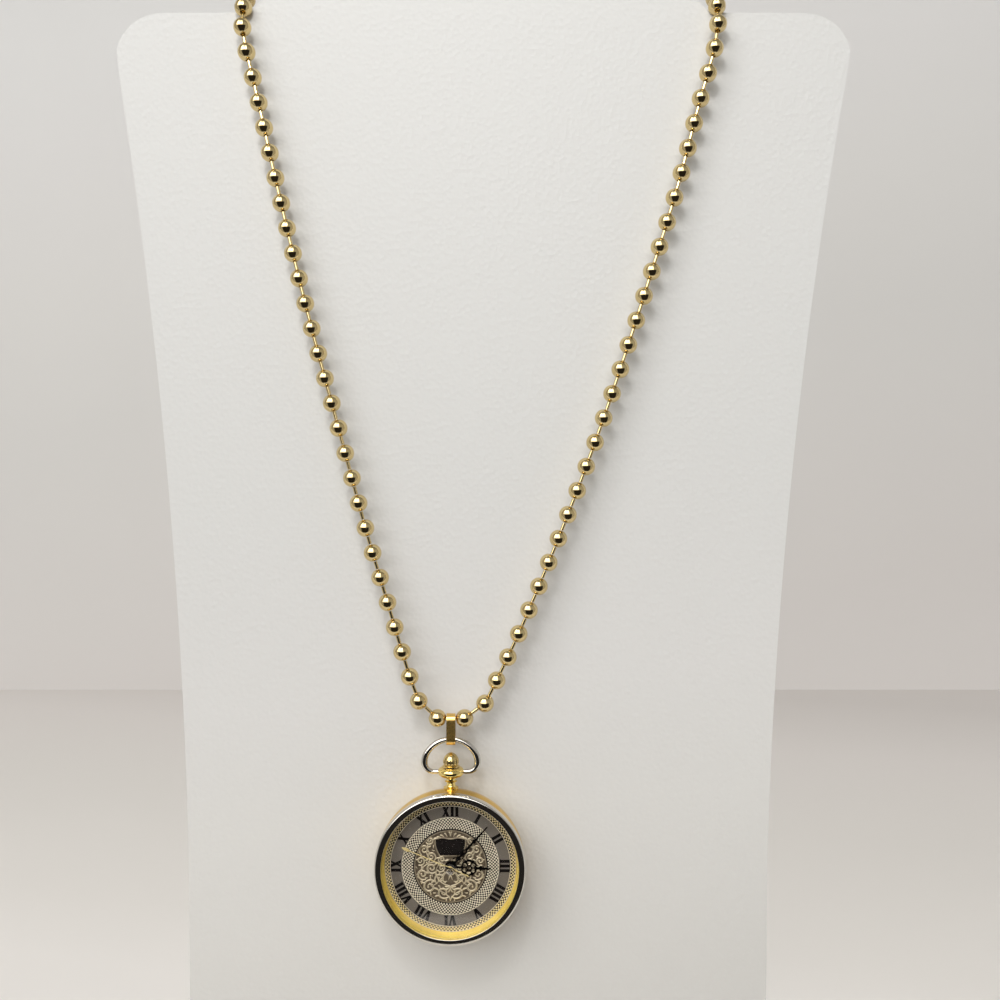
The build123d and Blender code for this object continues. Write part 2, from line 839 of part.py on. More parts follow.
# Pendant head: the lens-shaped knob that the bow pivots in and the crown gasket seats in
with BuildPart() as pendant_head:
    with BuildSketch(level(0)) as head_profile:
        with BuildLine():
            Polyline(
                (head_flat_radius, head_bottom),
                (stem_bore_radius, head_bottom),
                (stem_bore_radius, head_top),
                (head_flat_radius, head_top),
            )
            ThreePointArc(
                (head_flat_radius, head_top), (head_radius, pendant_pivot_height), (head_flat_radius, head_bottom)
            )
        make_face()
    revolve(axis=stem_axis)
    rod(gasket_seat_radius, head_top - gasket_seat_depth, head_top + overrun, Mode.SUBTRACT)
    for turn in (0, 180):
        side = Plane(
            origin=watch_centre + Vector(0, 0, pendant_pivot_height), z_dir=(cos(radians(turn)), 0, 0)
        )
        with BuildSketch(side.offset(bow_pin_reach - bow_pin_clearance)) as pin_hole:
            Circle(bow_pin_diameter / 2 + bow_pin_clearance)
        extrude(pin_hole.sketch, amount=head_radius, mode=Mode.SUBTRACT)
finish(pendant_head, "pendant_head")

with BuildPart() as crown_gasket:
    gasket_bottom = head_top - gasket_seat_depth
    gasket_top = gasket_bottom + gasket_thickness
    rod(gasket_seat_radius - gasket_clearance, gasket_bottom, gasket_top)
    rod(stem_radius + gasket_clearance, gasket_bottom, gasket_top, Mode.SUBTRACT)
finish(crown_gasket, "crown_gasket")

# Crown: a fluted onion over a flared skirt, screwed on the stem
crown_bottom = head_top + crown_gap
crown_top = crown_bottom + crown_height
crown_neck_height = crown_bottom + crown_skirt_thickness
crown_belly_height = crown_neck_height + (crown_top - crown_neck_height) * crown_waist_share
crown_dome_height = crown_belly_height + (crown_top - crown_belly_height) * (
    1 - crown_dome_share**2
) * crown_dome_fullness
with BuildPart() as crown:
    with BuildSketch(level(0)) as crown_profile:
        with BuildLine():
            Polyline(
                (crown_tip_radius, crown_top),
                (0, crown_top),
                (0, crown_bottom),
                (crown_skirt_radius, crown_bottom),
                (crown_skirt_radius, crown_bottom + crown_skirt_thickness / 2),
                (crown_neck_radius, crown_neck_height),
                (crown_radius, crown_belly_height),
            )
            ThreePointArc(
                (crown_radius, crown_belly_height),
                (crown_radius * crown_dome_share, crown_dome_height),
                (crown_tip_radius, crown_top),
            )
        make_face()
    revolve(axis=stem_axis)
    with BuildSketch(across(crown_neck_height)) as flutes:
        with PolarLocations(crown_radius + crown_flute_radius / 3, crown_flutes):
            Circle(crown_flute_radius)
    extrude(flutes.sketch, amount=crown_height, mode=Mode.SUBTRACT)
    rod(stem_radius, crown_bottom, crown_bottom + crown_bore_depth, Mode.SUBTRACT)
finish(crown, "crown")

with BuildPart() as bezel:
    with BuildSketch(dial_section) as bezel_profile:
        with BuildLine():
            Polyline(
                (bezel_crest_radius, bezel_top),
                (bezel_lip_radius, bezel_lip_height),
                (bezel_lip_radius, crystal_front_edge),
                (bezel_rebate_radius, crystal_front_edge),
                (bezel_rebate_radius, case_front),
                (case_front_radius, case_front),
                (bezel_radius, bezel_widest),
            )
            RadiusArc((bezel_radius, bezel_widest), (bezel_crest_radius, bezel_top), -bezel_top + bezel_widest)
        make_face()
    revolve(axis=dial_axis)
finish(bezel, "bezel")


def dome_arc(reach, edge_height, rise):
    """A shallow dome's section, from its edge up to the dial's axis."""
    sphere_radius = (reach**2 + rise**2) / (2 * rise)
    half_angle = degrees(asin(reach / sphere_radius))
    CenterArc((0, edge_height + rise - sphere_radius), sphere_radius, 90 - half_angle, half_angle)


# Crystal: a shallow dome of even thickness, held by its edge in the bezel
crystal_dome_edge = bezel_lip_radius - crystal_seat_gap
crystal_under_edge = bezel_lip_radius - bezel_lip_thickness
crystal_top_height = crystal_front_edge - crystal_seat_gap
with BuildPart() as crystal:
    with BuildSketch(dial_section) as crystal_profile:
        with BuildLine():
            dome_arc(crystal_dome_edge, crystal_top_height, crystal_dome)
            Polyline(
                (crystal_dome_edge, crystal_top_height),
                (crystal_radius, crystal_top_height),
                (crystal_radius, crystal_rear_edge),
                (crystal_under_edge, crystal_rear_edge),
            )
            dome_arc(crystal_under_edge, crystal_rear_edge, crystal_dome)
            Line((0, crystal_rear_edge + crystal_dome), (0, crystal_top_height + crystal_dome))
        make_face()
    revolve(axis=dial_axis)
finish(crystal, "crystal")

with BuildPart() as crystal_gasket:
    ring(
        crystal_radius + crystal_seat_gap,
        bezel_rebate_radius - crystal_seat_gap,
        crystal_rear_edge,
        crystal_front_edge - crystal_seat_gap,
    )
finish(crystal_gasket, "crystal_gasket")

rehaut_top = crystal_rear_edge - crystal_seat_gap
rehaut_foot = dial_front + rehaut_gap
with BuildPart() as rehaut_ring:
    spun(
        [
            (rehaut_foot_radius, rehaut_foot),
            (rehaut_top_radius, rehaut_top),
            (rehaut_flange_radius, rehaut_top),
            (rehaut_flange_radius, case_front + rehaut_gap),
            (rehaut_body_radius, case_front + rehaut_gap),
            (rehaut_body_radius, rehaut_foot),
        ]
    )
finish(rehaut_ring, "rehaut_ring")

back_inside = case_rear - back_plate_thickness
back_outside = back_inside - back_dome
with BuildPart() as case_back:
    with BuildSketch(dial_section) as back_profile:
        with BuildLine():
            Polyline(
                (0, back_outside),
                (0, back_inside),
                (back_skirt_radius - back_skirt_wall, back_inside),
                (back_skirt_radius - back_skirt_wall, case_rear + back_skirt_height),
                (back_skirt_radius, case_rear + back_skirt_height),
                (back_skirt_radius, case_rear),
                (case_rear_radius, case_rear),
            )
            ThreePointArc(
                (case_rear_radius, case_rear),
                (case_rear_radius - back_dome, back_inside - back_dome / 3),
                (case_wall_radius - 2 * back_dome, back_outside),
            )
            Line((case_wall_radius - 2 * back_dome, back_outside), (0, back_outside))
        make_face()
    revolve(axis=dial_axis)
finish(case_back, "case_back")

with BuildPart() as case_back_gasket:
    ring(
        back_skirt_radius + back_gasket_gap,
        case_wall_radius - back_gasket_gap,
        case_rear,
        case_rear + back_skirt_height,
    )
finish(case_back_gasket, "case_back_gasket")

# Dial: a plate with two sunk tracks between fine raised rings, and two feet
with BuildPart() as dial:
    disc((0, 0), dial_radius, dial_back, dial_front)
    for outer, inner in ((chapter_radius, guilloche_radius), (minute_track_radius, chapter_radius)):
        ring(inner + dial_ring_width, outer - dial_ring_width, dial_front - dial_sink, dial_front + overrun,
             Mode.SUBTRACT)
    for radius in (minute_track_radius, chapter_radius, guilloche_radius):
        ring(radius - dial_ring_width, radius, dial_front, dial_front + dial_ring_height)
    for angle in dial_foot_angles:
        disc(polar(dial_foot_ring, angle), dial_foot_radius, dial_back - dial_foot_length, dial_back)
    disc((0, 0), dial_hole_radius, dial_back - overrun, dial_front + overrun, Mode.SUBTRACT)
finish(dial, "dial")

with BuildPart() as dial_medallion:
    ring(dial_hole_radius, medallion_radius, dial_front, dial_front + medallion_thickness)
    medallion_top = dial_front + medallion_thickness
    ring(medallion_radius - 2 * dial_ring_width, medallion_radius, medallion_top, medallion_top + dial_ring_height)
finish(dial_medallion, "dial_medallion")


def hand_plane(angle, height):
    """The plane of a hand, whose own x runs from the pivot to the tip; angles are clockwise from XII."""
    return level(height, turn=90 - angle)


# Hour hand: boss, pierced rosette of six petals, cross bar and spear point
with BuildPart() as hour_hand:
    rosette_centre = hour_hand_length * hour_rosette_share
    rosette_outer = rosette_centre + hour_rosette_radius
    petal_radius = (hour_rosette_radius - 2 * hour_rosette_wire) / 3
    with BuildSketch(hand_plane(hour_hand_angle, hour_hand_rear)):
        Circle(hour_boss_radius)
        with Locations((rosette_centre / 2, 0)):
            Rectangle(rosette_centre, hand_stem_width)
        with BuildLine():
            Polyline(
                (rosette_outer - hour_rosette_wire, hand_stem_width),
                (hour_hand_length, hand_point_width / 2),
                (hour_hand_length, -hand_point_width / 2),
                (rosette_outer - hour_rosette_wire, -hand_stem_width),
                close=True,
            )
        make_face()
        with Locations(((rosette_outer + hour_hand_length) / 2, 0)):
            Rectangle(hand_stem_width, 3 * hand_stem_width)
        with Locations((rosette_centre, 0)):
            Circle(hour_rosette_radius)
            Circle(petal_radius, mode=Mode.SUBTRACT)
            with PolarLocations(2 * petal_radius + hour_rosette_wire, 6, start_angle=30):
                Circle(petal_radius, mode=Mode.SUBTRACT)
        Circle(hour_pipe_radius, mode=Mode.SUBTRACT)
    extrude(amount=hand_thickness)
finish(hour_hand, "hour_hand")

# Minute hand: boss, two pierced scroll loops and a long needle
with BuildPart() as minute_hand:
    loop_lengths = (minute_hand_length * lower_loop_share, minute_hand_length * upper_loop_share)
    loop_start = minute_boss_radius
    with BuildSketch(hand_plane(minute_hand_angle, minute_hand_rear)):
        Circle(minute_boss_radius)
        for loop_length in loop_lengths:
            with Locations((loop_start + loop_length / 2, 0)):
                Ellipse(loop_length / 2 + minute_scroll_wire / 2, minute_scroll_width / 2)
                Ellipse(
                    loop_length / 2 - minute_scroll_wire / 2,
                    minute_scroll_width / 2 - minute_scroll_wire,
                    mode=Mode.SUBTRACT,
                )
            loop_start = loop_start + loop_length
        with BuildLine():
            Polyline(
                (minute_boss_radius, hand_stem_width / 3),
                (loop_start, hand_stem_width / 2),
                (minute_hand_length, hand_point_width / 2),
                (minute_hand_length, -hand_point_width / 2),
                (loop_start, -hand_stem_width / 2),
                (minute_boss_radius, -hand_stem_width / 3),
                close=True,
            )
        make_face()
        Circle(cannon_pipe_radius, mode=Mode.SUBTRACT)
    extrude(amount=hand_thickness)
finish(minute_hand, "minute_hand")

with BuildPart() as seconds_hand:
    with BuildSketch(hand_plane(seconds_hand_angle, seconds_hand_rear)):
        with BuildLine():
            Polyline(
                (-seconds_tail_length, seconds_width / 2),
                (seconds_hand_length, seconds_width / 3),
                (seconds_hand_length, -seconds_width / 3),
                (-seconds_tail_length, -seconds_width / 2),
                close=True,
            )
        make_face()
        Circle(seconds_boss_radius)
        with Locations((-seconds_tail_length, 0)):
            Circle(seconds_counter_radius)
        Circle(fourth_arbor_radius, mode=Mode.SUBTRACT)
    extrude(amount=hand_thickness)
finish(seconds_hand, "seconds_hand")

# Movement ring: fills the case between the movement and the wall, with a hole for the stem
with BuildPart() as movement_ring:
    ring(movement_radius + ring_gap, ring_outer_radius, ring_rear, dial_back)
    rod(ring_stem_radius, movement_radius - overrun, case_radius, Mode.SUBTRACT)
    for angle in clamp_angles:
        disc(polar(clamp_screw_ring, angle), screw_shank_radius + screw_fit, ring_rear - overrun,
             ring_rear + screw_depth, Mode.SUBTRACT)
finish(movement_ring, "movement_ring")

screw_places = (
    [(place, train_bridge_rear) for place in train_foot_places]
    + [(cock_foot_place, train_bridge_rear)]
    + [(place, pallet_bridge_rear) for place in pallet_foot_places]
    + [(place, barrel_bridge_rear) for place in barrel_screw_places]
)


def screw_holes(places, low, high):
    """Cuts the holes of some screws."""
    for place in places:
        disc(place, screw_shank_radius + screw_fit, low, high, Mode.SUBTRACT)


def screw_pockets(places, rear):
    """Cuts the sunk seats of some screw heads."""
    for place in places:
        disc(place, screw_head_radius + screw_fit, rear - overrun, rear + screw_head_thickness, Mode.SUBTRACT)


pivot_places = (third_place, escape_place, pallet_place, balance_place)
plate_screw_bottom = plate_rear + screw_depth
stem_outer_bore = stem_radius + shaft_fit
lever_slot_end = stem_groove_start + stem_groove_width + crown_pull + keyless_gap
# Main plate: carries everything, with pockets for the barrel, the motion works and the keyless works
with BuildPart() as main_plate:
    disc((0, 0), movement_radius, plate_rear, plate_front)
    disc(barrel_place, barrel_radius + barrel_pocket_gap, plate_rear - overrun, barrel_front + barrel_pocket_gap,
         Mode.SUBTRACT)
    disc(barrel_place, arbor_pivot_radius + shaft_fit, barrel_front, plate_front + overrun, Mode.SUBTRACT)
    for place, radius in (
        ((0, 0), tip_radius(hour_wheel_teeth, hour_module)),
        (minute_wheel_place, tip_radius(minute_wheel_teeth, motion_module)),
        (setting_wheel_place, tip_radius(setting_wheel_teeth, motion_module)),
    ):
        disc(place, radius + motion_turn_gap, motion_recess, plate_front + overrun, Mode.SUBTRACT)
    disc((0, 0), centre_tube_radius + shaft_fit, plate_rear - overrun, plate_front, Mode.SUBTRACT)
    rod(slider_radius + keyless_gap, slider_inner_end - slider_travel - keyless_gap / 2,
        winding_inner_end, Mode.SUBTRACT)
    winding_tip = tip_radius(winding_teeth, winding_module)
    rod(winding_tip + keyless_gap, winding_inner_end - keyless_gap, winding_outer_end + keyless_gap / 2,
        Mode.SUBTRACT)
    rod(stem_pilot_radius + shaft_fit, stem_inner_end - keyless_gap, slider_inner_end, Mode.SUBTRACT)
    rod(stem_outer_bore, winding_outer_end, movement_radius + overrun, Mode.SUBTRACT)
    with BuildSketch(level(0, (0, (stem_groove_start + lever_slot_end) / 2))) as lever_slot:
        Rectangle(4 * lever_pin_radius, lever_slot_end - stem_groove_start)
    extrude(lever_slot.sketch, amount=plate_front + overrun, mode=Mode.SUBTRACT)
    for place in pivot_places:
        disc(place, jewel_radius, plate_rear - overrun, plate_rear + jewel_thickness, Mode.SUBTRACT)
    for angle in dial_foot_angles:
        disc(polar(dial_foot_ring, angle), dial_foot_radius + shaft_fit, dial_back - dial_foot_length - overrun,
             plate_front + overrun, Mode.SUBTRACT)
    screw_holes([place for place, rear in screw_places], plate_rear - overrun, plate_screw_bottom)
    for place in (lever_pivot, yoke_pivot):
        disc(place, pivot_screw_radius + shaft_fit, plate_front - screw_depth, plate_front + overrun, Mode.SUBTRACT)
    disc(minute_wheel_place, post_radius, motion_recess, hour_wheel_front)
    disc(setting_wheel_place, post_radius, motion_recess, plate_front)
finish(main_plate, "main_plate")

contrate_inner = contrate_radius - contrate_ring_width / 2
contrate_outer = contrate_radius + contrate_ring_width / 2
contrate_tip = -pitch_radius(winding_teeth, winding_module) + tooth_addendum_share * winding_module
contrate_root = -pitch_radius(winding_teeth, winding_module) - (1 + tooth_addendum_share / 3) * winding_module
# Barrel bridge: covers the barrel, the stem and the centre wheel, and carries the winding wheels
with BuildPart() as barrel_bridge:
    edge_direction = barrel_bridge_angle - 90
    with BuildSketch(level(barrel_bridge_rear)) as bridge_outline:
        Circle(movement_radius - barrel_bridge_inset)
        with Locations(Location(polar(barrel_bridge_edge, barrel_bridge_angle), edge_direction)):
            Rectangle(3 * movement_radius, 3 * movement_radius, align=(Align.CENTER, Align.MAX),
                      mode=Mode.SUBTRACT)
    extrude(bridge_outline.sketch, amount=plate_rear - barrel_bridge_rear)
    barrel_tip = tip_radius(barrel_teeth, barrel_module)
    disc(barrel_place, barrel_tip + barrel_pocket_gap, barrel_rear - barrel_pocket_gap, plate_rear + overrun,
         Mode.SUBTRACT)
    centre_tip = tip_radius(centre_teeth, centre_module)
    disc((0, 0), centre_tip + train_turn_gap, centre_wheel_rear - train_turn_gap, plate_rear + overrun,
         Mode.SUBTRACT)
    disc((0, 0), 2 * arbor_core_radius / 3, barrel_bridge_rear - overrun, plate_rear, Mode.SUBTRACT)
    third_tip = tip_radius(third_teeth, third_module)
    disc(third_place, third_tip + train_turn_gap, barrel_bridge_rear - overrun, plate_rear + overrun,
         Mode.SUBTRACT)
    disc(barrel_place, arbor_bearing_radius + shaft_fit, barrel_bridge_rear - overrun, plate_rear, Mode.SUBTRACT)
    with BuildSketch(level(barrel_bridge_rear - overrun, crown_wheel_centre)) as groove:
        Circle(contrate_outer + keyless_gap)
        Circle(contrate_inner - keyless_gap, mode=Mode.SUBTRACT)
    extrude(groove.sketch, amount=contrate_tip + keyless_gap / 2 - barrel_bridge_rear + overrun,
            mode=Mode.SUBTRACT)
    disc(crown_wheel_centre, crown_core_radius, wheel_top - shaft_fit, barrel_bridge_rear)
    disc(crown_wheel_centre, screw_shank_radius + screw_fit, wheel_top - overrun, barrel_bridge_rear,
         Mode.SUBTRACT)
    rod(slider_radius + keyless_gap, slider_inner_end - slider_travel - keyless_gap / 2, winding_inner_end,
        Mode.SUBTRACT)
    rod(winding_tip + keyless_gap, winding_inner_end - keyless_gap, winding_outer_end + keyless_gap / 2,
        Mode.SUBTRACT)
    screw_holes(barrel_screw_places, barrel_bridge_rear - overrun, plate_rear + overrun)
    screw_pockets(barrel_screw_places, barrel_bridge_rear)
    disc(click_place, pivot_screw_radius + screw_fit, barrel_bridge_rear - overrun, barrel_bridge_rear + screw_depth,
         Mode.SUBTRACT)
finish(barrel_bridge, "barrel_bridge")

# Train bridge: holds the rear pivots of the third, fourth and escape wheels
with BuildPart() as train_bridge:
    bar(((0, 0), *train_foot_places), bridge_arm_radius, train_bridge_rear, train_bridge_front)
    for place in train_foot_places:
        disc(place, bridge_foot_radius, train_bridge_front, plate_rear)
    for place in (third_place, escape_place, (0, 0)):
        disc(place, jewel_radius, train_bridge_rear - overrun, train_bridge_front + overrun, Mode.SUBTRACT)
    screw_holes(train_foot_places, train_bridge_rear - overrun, plate_rear + overrun)
    screw_pockets(train_foot_places, train_bridge_rear)
finish(train_bridge, "train_bridge")

with BuildPart() as balance_cock:
    bar((balance_place, cock_foot_place), cock_arm_radius, train_bridge_rear, cock_front)
    disc(cock_foot_place, cock_foot_radius, train_bridge_rear, plate_rear)
    disc(balance_place, jewel_radius, train_bridge_rear - overrun, cock_front + overrun, Mode.SUBTRACT)
    screw_holes([cock_foot_place], train_bridge_rear - overrun, plate_rear + overrun)
    screw_pockets([cock_foot_place], train_bridge_rear)
finish(balance_cock, "balance_cock")

with BuildPart() as pallet_bridge:
    bar((*pallet_foot_places, pallet_place), pallet_bridge_radius, pallet_bridge_rear, pallet_bridge_front)
    for place in pallet_foot_places:
        disc(place, pallet_bridge_radius, pallet_bridge_front, plate_rear)
    disc(pallet_place, jewel_radius, pallet_bridge_rear - overrun, pallet_bridge_front + overrun, Mode.SUBTRACT)
    screw_holes(pallet_foot_places, pallet_bridge_rear - overrun, plate_rear + overrun)
finish(pallet_bridge, "pallet_bridge")

# Jewels: one ring for each pivot, in the plate and in the bridges
jewel_seats = (
    [(place, plate_rear, plate_rear + jewel_thickness) for place in pivot_places]
    + [(place, train_bridge_rear, train_bridge_front) for place in (third_place, escape_place)]
    + [(balance_place, train_bridge_rear, cock_front)]
    + [(pallet_place, pallet_bridge_rear, pallet_bridge_front)]
)
with BuildPart() as jewels:
    for place, low, high in jewel_seats:
        disc(place, jewel_radius, low, high)
        disc(place, pivot_radius + pivot_fit, low, high, Mode.SUBTRACT)
    disc((0, 0), jewel_radius, train_bridge_rear, train_bridge_front)
    disc((0, 0), fourth_arbor_radius + pivot_fit, train_bridge_rear, train_bridge_front, Mode.SUBTRACT)
finish(jewels, "jewels")


def slotted_screw(place, head_rear, head_radius, shank_radius, tip):
    """A cheese-head screw whose slotted head faces the case back."""
    disc(place, head_radius, head_rear, head_rear + screw_head_thickness)
    disc(place, shank_radius, head_rear + screw_head_thickness, tip)
    with BuildSketch(level(head_rear, place, 30)) as slot:
        Rectangle(2 * head_radius + overrun, screw_slot_width)
    extrude(slot.sketch, amount=screw_slot_depth, mode=Mode.SUBTRACT)


with BuildPart() as bridge_screws:
    for place, rear in screw_places:
        head_rear = rear - screw_head_thickness if rear == pallet_bridge_rear else rear
        slotted_screw(place, head_rear, screw_head_radius, screw_shank_radius, plate_screw_bottom - keyless_gap)
finish(bridge_screws, "bridge_screws")

# Movement clamps: small plates on the movement ring that reach over the edge of the movement
with BuildPart() as movement_clamps:
    for angle in clamp_angles:
        inner = movement_radius - clamp_overlap
        with BuildSketch(level(ring_rear - clamp_thickness, turn=angle)) as clamp:
            with Locations((inner, 0)):
                Rectangle(clamp_length, clamp_width, align=(Align.MIN, Align.CENTER))
        extrude(clamp.sketch, amount=clamp_thickness)
        disc(polar(clamp_screw_ring, angle), screw_shank_radius + screw_fit, ring_rear - clamp_thickness - overrun,
             ring_rear + overrun, Mode.SUBTRACT)
finish(movement_clamps, "movement_clamps")

with BuildPart() as clamp_screws:
    for angle in clamp_angles:
        slotted_screw(polar(clamp_screw_ring, angle), ring_rear - clamp_thickness - screw_head_thickness,
                      screw_head_radius, screw_shank_radius, ring_rear + screw_depth - keyless_gap)
finish(clamp_screws, "clamp_screws")

# Mainspring barrel with its cover, spring, arbor and ratchet wheel
barrel_mesh = barrel_angle + 180
with BuildPart() as mainspring_barrel:
    disc(barrel_place, barrel_radius, barrel_rear, barrel_front)
    gear(barrel_place, barrel_rear, barrel_rear + barrel_teeth_thickness, barrel_teeth, barrel_module, barrel_mesh)
    disc(barrel_place, barrel_radius - barrel_wall, barrel_rear - overrun, barrel_front - barrel_floor,
         Mode.SUBTRACT)
    disc(barrel_place, arbor_pivot_radius + shaft_fit, barrel_rear, barrel_front + overrun, Mode.SUBTRACT)
finish(mainspring_barrel, "mainspring_barrel")

cover_front = barrel_rear + barrel_cover_thickness
with BuildPart() as barrel_cover:
    disc(barrel_place, barrel_radius - barrel_wall, barrel_rear, cover_front)
    disc(barrel_place, arbor_bearing_radius + shaft_fit, barrel_rear - overrun, cover_front + overrun,
         Mode.SUBTRACT)
finish(barrel_cover, "barrel_cover")

spring_front = barrel_front - barrel_floor - mainspring_end_gap
spring_rear = cover_front + mainspring_end_gap
with BuildPart() as mainspring:
    spiral_strip(barrel_place, spring_rear, spring_front - spring_rear, arbor_core_radius + mainspring_strip,
                 barrel_radius - barrel_wall - mainspring_strip, mainspring_strip, mainspring_turns)
finish(mainspring, "mainspring")

arbor_screw_depth = 2 * screw_head_thickness
with BuildPart() as barrel_arbor:
    disc(barrel_place, arbor_pivot_radius, barrel_front - barrel_floor, plate_front - keyless_gap)
    disc(barrel_place, arbor_core_radius, cover_front + mainspring_end_gap / 2,
         barrel_front - barrel_floor - mainspring_end_gap / 2)
    disc(barrel_place, arbor_bearing_radius, barrel_bridge_rear, cover_front + mainspring_end_gap / 2)
    with BuildSketch(level(wheel_top, barrel_place)) as arbor_end:
        Rectangle(arbor_square, arbor_square)
    extrude(arbor_end.sketch, amount=barrel_bridge_rear - wheel_top)
    disc(barrel_place, arbor_pivot_radius, barrel_front - barrel_floor - mainspring_end_gap, barrel_front)
    disc(barrel_place, screw_shank_radius, wheel_top - overrun, wheel_top + arbor_screw_depth, Mode.SUBTRACT)
finish(barrel_arbor, "barrel_arbor")

ratchet_mesh = degrees(
    atan2(crown_wheel_centre[1] - barrel_place[1], crown_wheel_centre[0] - barrel_place[0])
)
with BuildPart() as ratchet_wheel:
    gear(barrel_place, wheel_top, wheel_rear, ratchet_teeth, ratchet_module, ratchet_mesh)
    with BuildSketch(level(wheel_top, barrel_place)) as square_hole:
        Rectangle(arbor_square, arbor_square)
    extrude(square_hole.sketch, amount=crown_wheel_thickness, mode=Mode.SUBTRACT)
finish(ratchet_wheel, "ratchet_wheel")

with BuildPart() as ratchet_screw:
    slotted_screw(barrel_place, wheel_top - screw_head_thickness, arbor_core_radius, screw_shank_radius - screw_fit,
                  wheel_top + arbor_screw_depth)
finish(ratchet_screw, "ratchet_screw")

# Crown wheel: spur teeth for the ratchet wheel, and face teeth that the winding pinion turns
crown_wheel_phase = ratchet_mesh + 180 + 180 / crown_wheel_teeth
with BuildPart() as crown_wheel:
    gear(crown_wheel_centre, wheel_top, wheel_rear, crown_wheel_teeth, ratchet_module, crown_wheel_phase)
    disc(crown_wheel_centre, contrate_outer, wheel_rear, contrate_root)
    disc(crown_wheel_centre, contrate_inner, wheel_rear, contrate_root + overrun, Mode.SUBTRACT)
    with BuildSketch(level(contrate_root, crown_wheel_centre, 90)) as face_teeth:
        with PolarLocations(contrate_radius, contrate_teeth):
            Rectangle(contrate_ring_width, contrate_tooth_width)
    extrude(face_teeth.sketch, amount=contrate_tip - contrate_root)
    disc(crown_wheel_centre, crown_core_radius + shaft_fit, wheel_top - overrun, wheel_rear, Mode.SUBTRACT)
finish(crown_wheel, "crown_wheel")

with BuildPart() as crown_wheel_screw:
    slotted_screw(crown_wheel_centre, wheel_top - shaft_fit - screw_head_thickness, arbor_core_radius,
                  screw_shank_radius, barrel_bridge_rear)
finish(crown_wheel_screw, "crown_wheel_screw")

ratchet_pitch = 360 / ratchet_teeth
beak_gap = ratchet_mesh + ratchet_pitch * (round((click_beak_angle - ratchet_mesh) / ratchet_pitch) + 1 / 2)
click_tip = polar(tip_radius(ratchet_teeth, ratchet_module) + click_beak_radius / 2, beak_gap, barrel_place)
with BuildPart() as click:
    disc(click_place, click_hub_radius, wheel_top, wheel_rear)
    with BuildSketch(level(wheel_top)) as beak:
        with Locations(click_place):
            Circle(click_hub_radius / 2)
        with Locations(click_tip):
            Circle(click_beak_radius)
        make_hull()
    extrude(beak.sketch, amount=crown_wheel_thickness)
    disc(click_place, pivot_screw_radius + shaft_fit, wheel_top - overrun, wheel_rear + overrun, Mode.SUBTRACT)
finish(click, "click")

with BuildPart() as click_screw:
    slotted_screw(click_place, wheel_top - shaft_fit - screw_head_thickness, click_hub_radius * click_screw_share,
                  pivot_screw_radius, barrel_bridge_rear + screw_depth - keyless_gap)
finish(click_screw, "click_screw")

spring_inner = click_hub_radius + keyless_gap / 2
with BuildPart() as click_spring:
    with BuildSketch(level(wheel_top, click_place, click_angle - click_spring_sweep / 2)) as spring_arc:
        with BuildLine():
            outer_arc = CenterArc((0, 0), spring_inner + click_spring_width, 0, click_spring_sweep)
            inner_arc = CenterArc((0, 0), spring_inner, 0, click_spring_sweep)
            Line(inner_arc @ 0, outer_arc @ 0)
            Line(inner_arc @ 1, outer_arc @ 1)
        make_face()
    extrude(spring_arc.sketch, amount=wheel_rear + ratchet_gap - wheel_top)
finish(click_spring, "click_spring")

# Centre wheel: hollow arbor, pinion driven by the barrel, wheel that drives the third pinion
cannon_top = minute_hand_rear + hand_thickness
with BuildPart() as centre_wheel:
    disc((0, 0), centre_tube_radius, centre_tube_end, motion_front)
    centre_phase = barrel_angle + 180 / centre_pinion_teeth
    gear((0, 0), centre_pinion_rear, plate_rear - keyless_gap, centre_pinion_teeth, barrel_module, centre_phase)
    gear((0, 0), centre_wheel_rear, centre_wheel_front, centre_teeth, centre_module, third_angle)
    disc((0, 0), wheel_hub_radius, centre_wheel_front, centre_pinion_rear)
    centre_rim = pitch_radius(centre_teeth, centre_module) - rim_width
    windows((0, 0), centre_wheel_rear, centre_wheel_front, centre_rim, wheel_hub_radius, wheel_spokes)
    disc((0, 0), centre_tube_bore, centre_tube_end - overrun, motion_front + overrun, Mode.SUBTRACT)
finish(centre_wheel, "centre_wheel")

# Cannon pinion: grips the centre arbor and carries the minute hand on its pipe
with BuildPart() as cannon_pinion:
    disc((0, 0), cannon_pipe_radius, motion_rear, cannon_top)
    gear((0, 0), motion_rear, motion_front, cannon_teeth, motion_module, 90 + 180 / cannon_teeth)
    disc((0, 0), centre_tube_radius, motion_rear - overrun, motion_front, Mode.SUBTRACT)
    disc((0, 0), centre_tube_bore, motion_front, cannon_top + overrun, Mode.SUBTRACT)
finish(cannon_pinion, "cannon_pinion")


def pivoted_arbor(place, front_end, rear_end):
    """An arbor between two jewels, with a fine pivot at each end."""
    disc(place, arbor_radius, rear_end, front_end)
    disc(place, pivot_radius, rear_end - pivot_length, front_end + pivot_length)


plate_shoulder = plate_rear - pivot_fit
bridge_shoulder = train_bridge_front + pivot_fit
with BuildPart() as third_wheel:
    pivoted_arbor(third_place, plate_shoulder, bridge_shoulder)
    third_pinion_phase = third_angle + 180 + 180 / third_pinion_teeth
    gear(third_place, third_pinion_rear, centre_wheel_front + keyless_gap, third_pinion_teeth, centre_module,
         third_pinion_phase)
    gear(third_place, third_wheel_rear, third_wheel_front, third_teeth, third_module, third_angle + 180)
    third_rim = pitch_radius(third_teeth, third_module) - rim_width
    windows(third_place, third_wheel_rear, third_wheel_front, third_rim, wheel_hub_radius, wheel_spokes)
finish(third_wheel, "third_wheel")

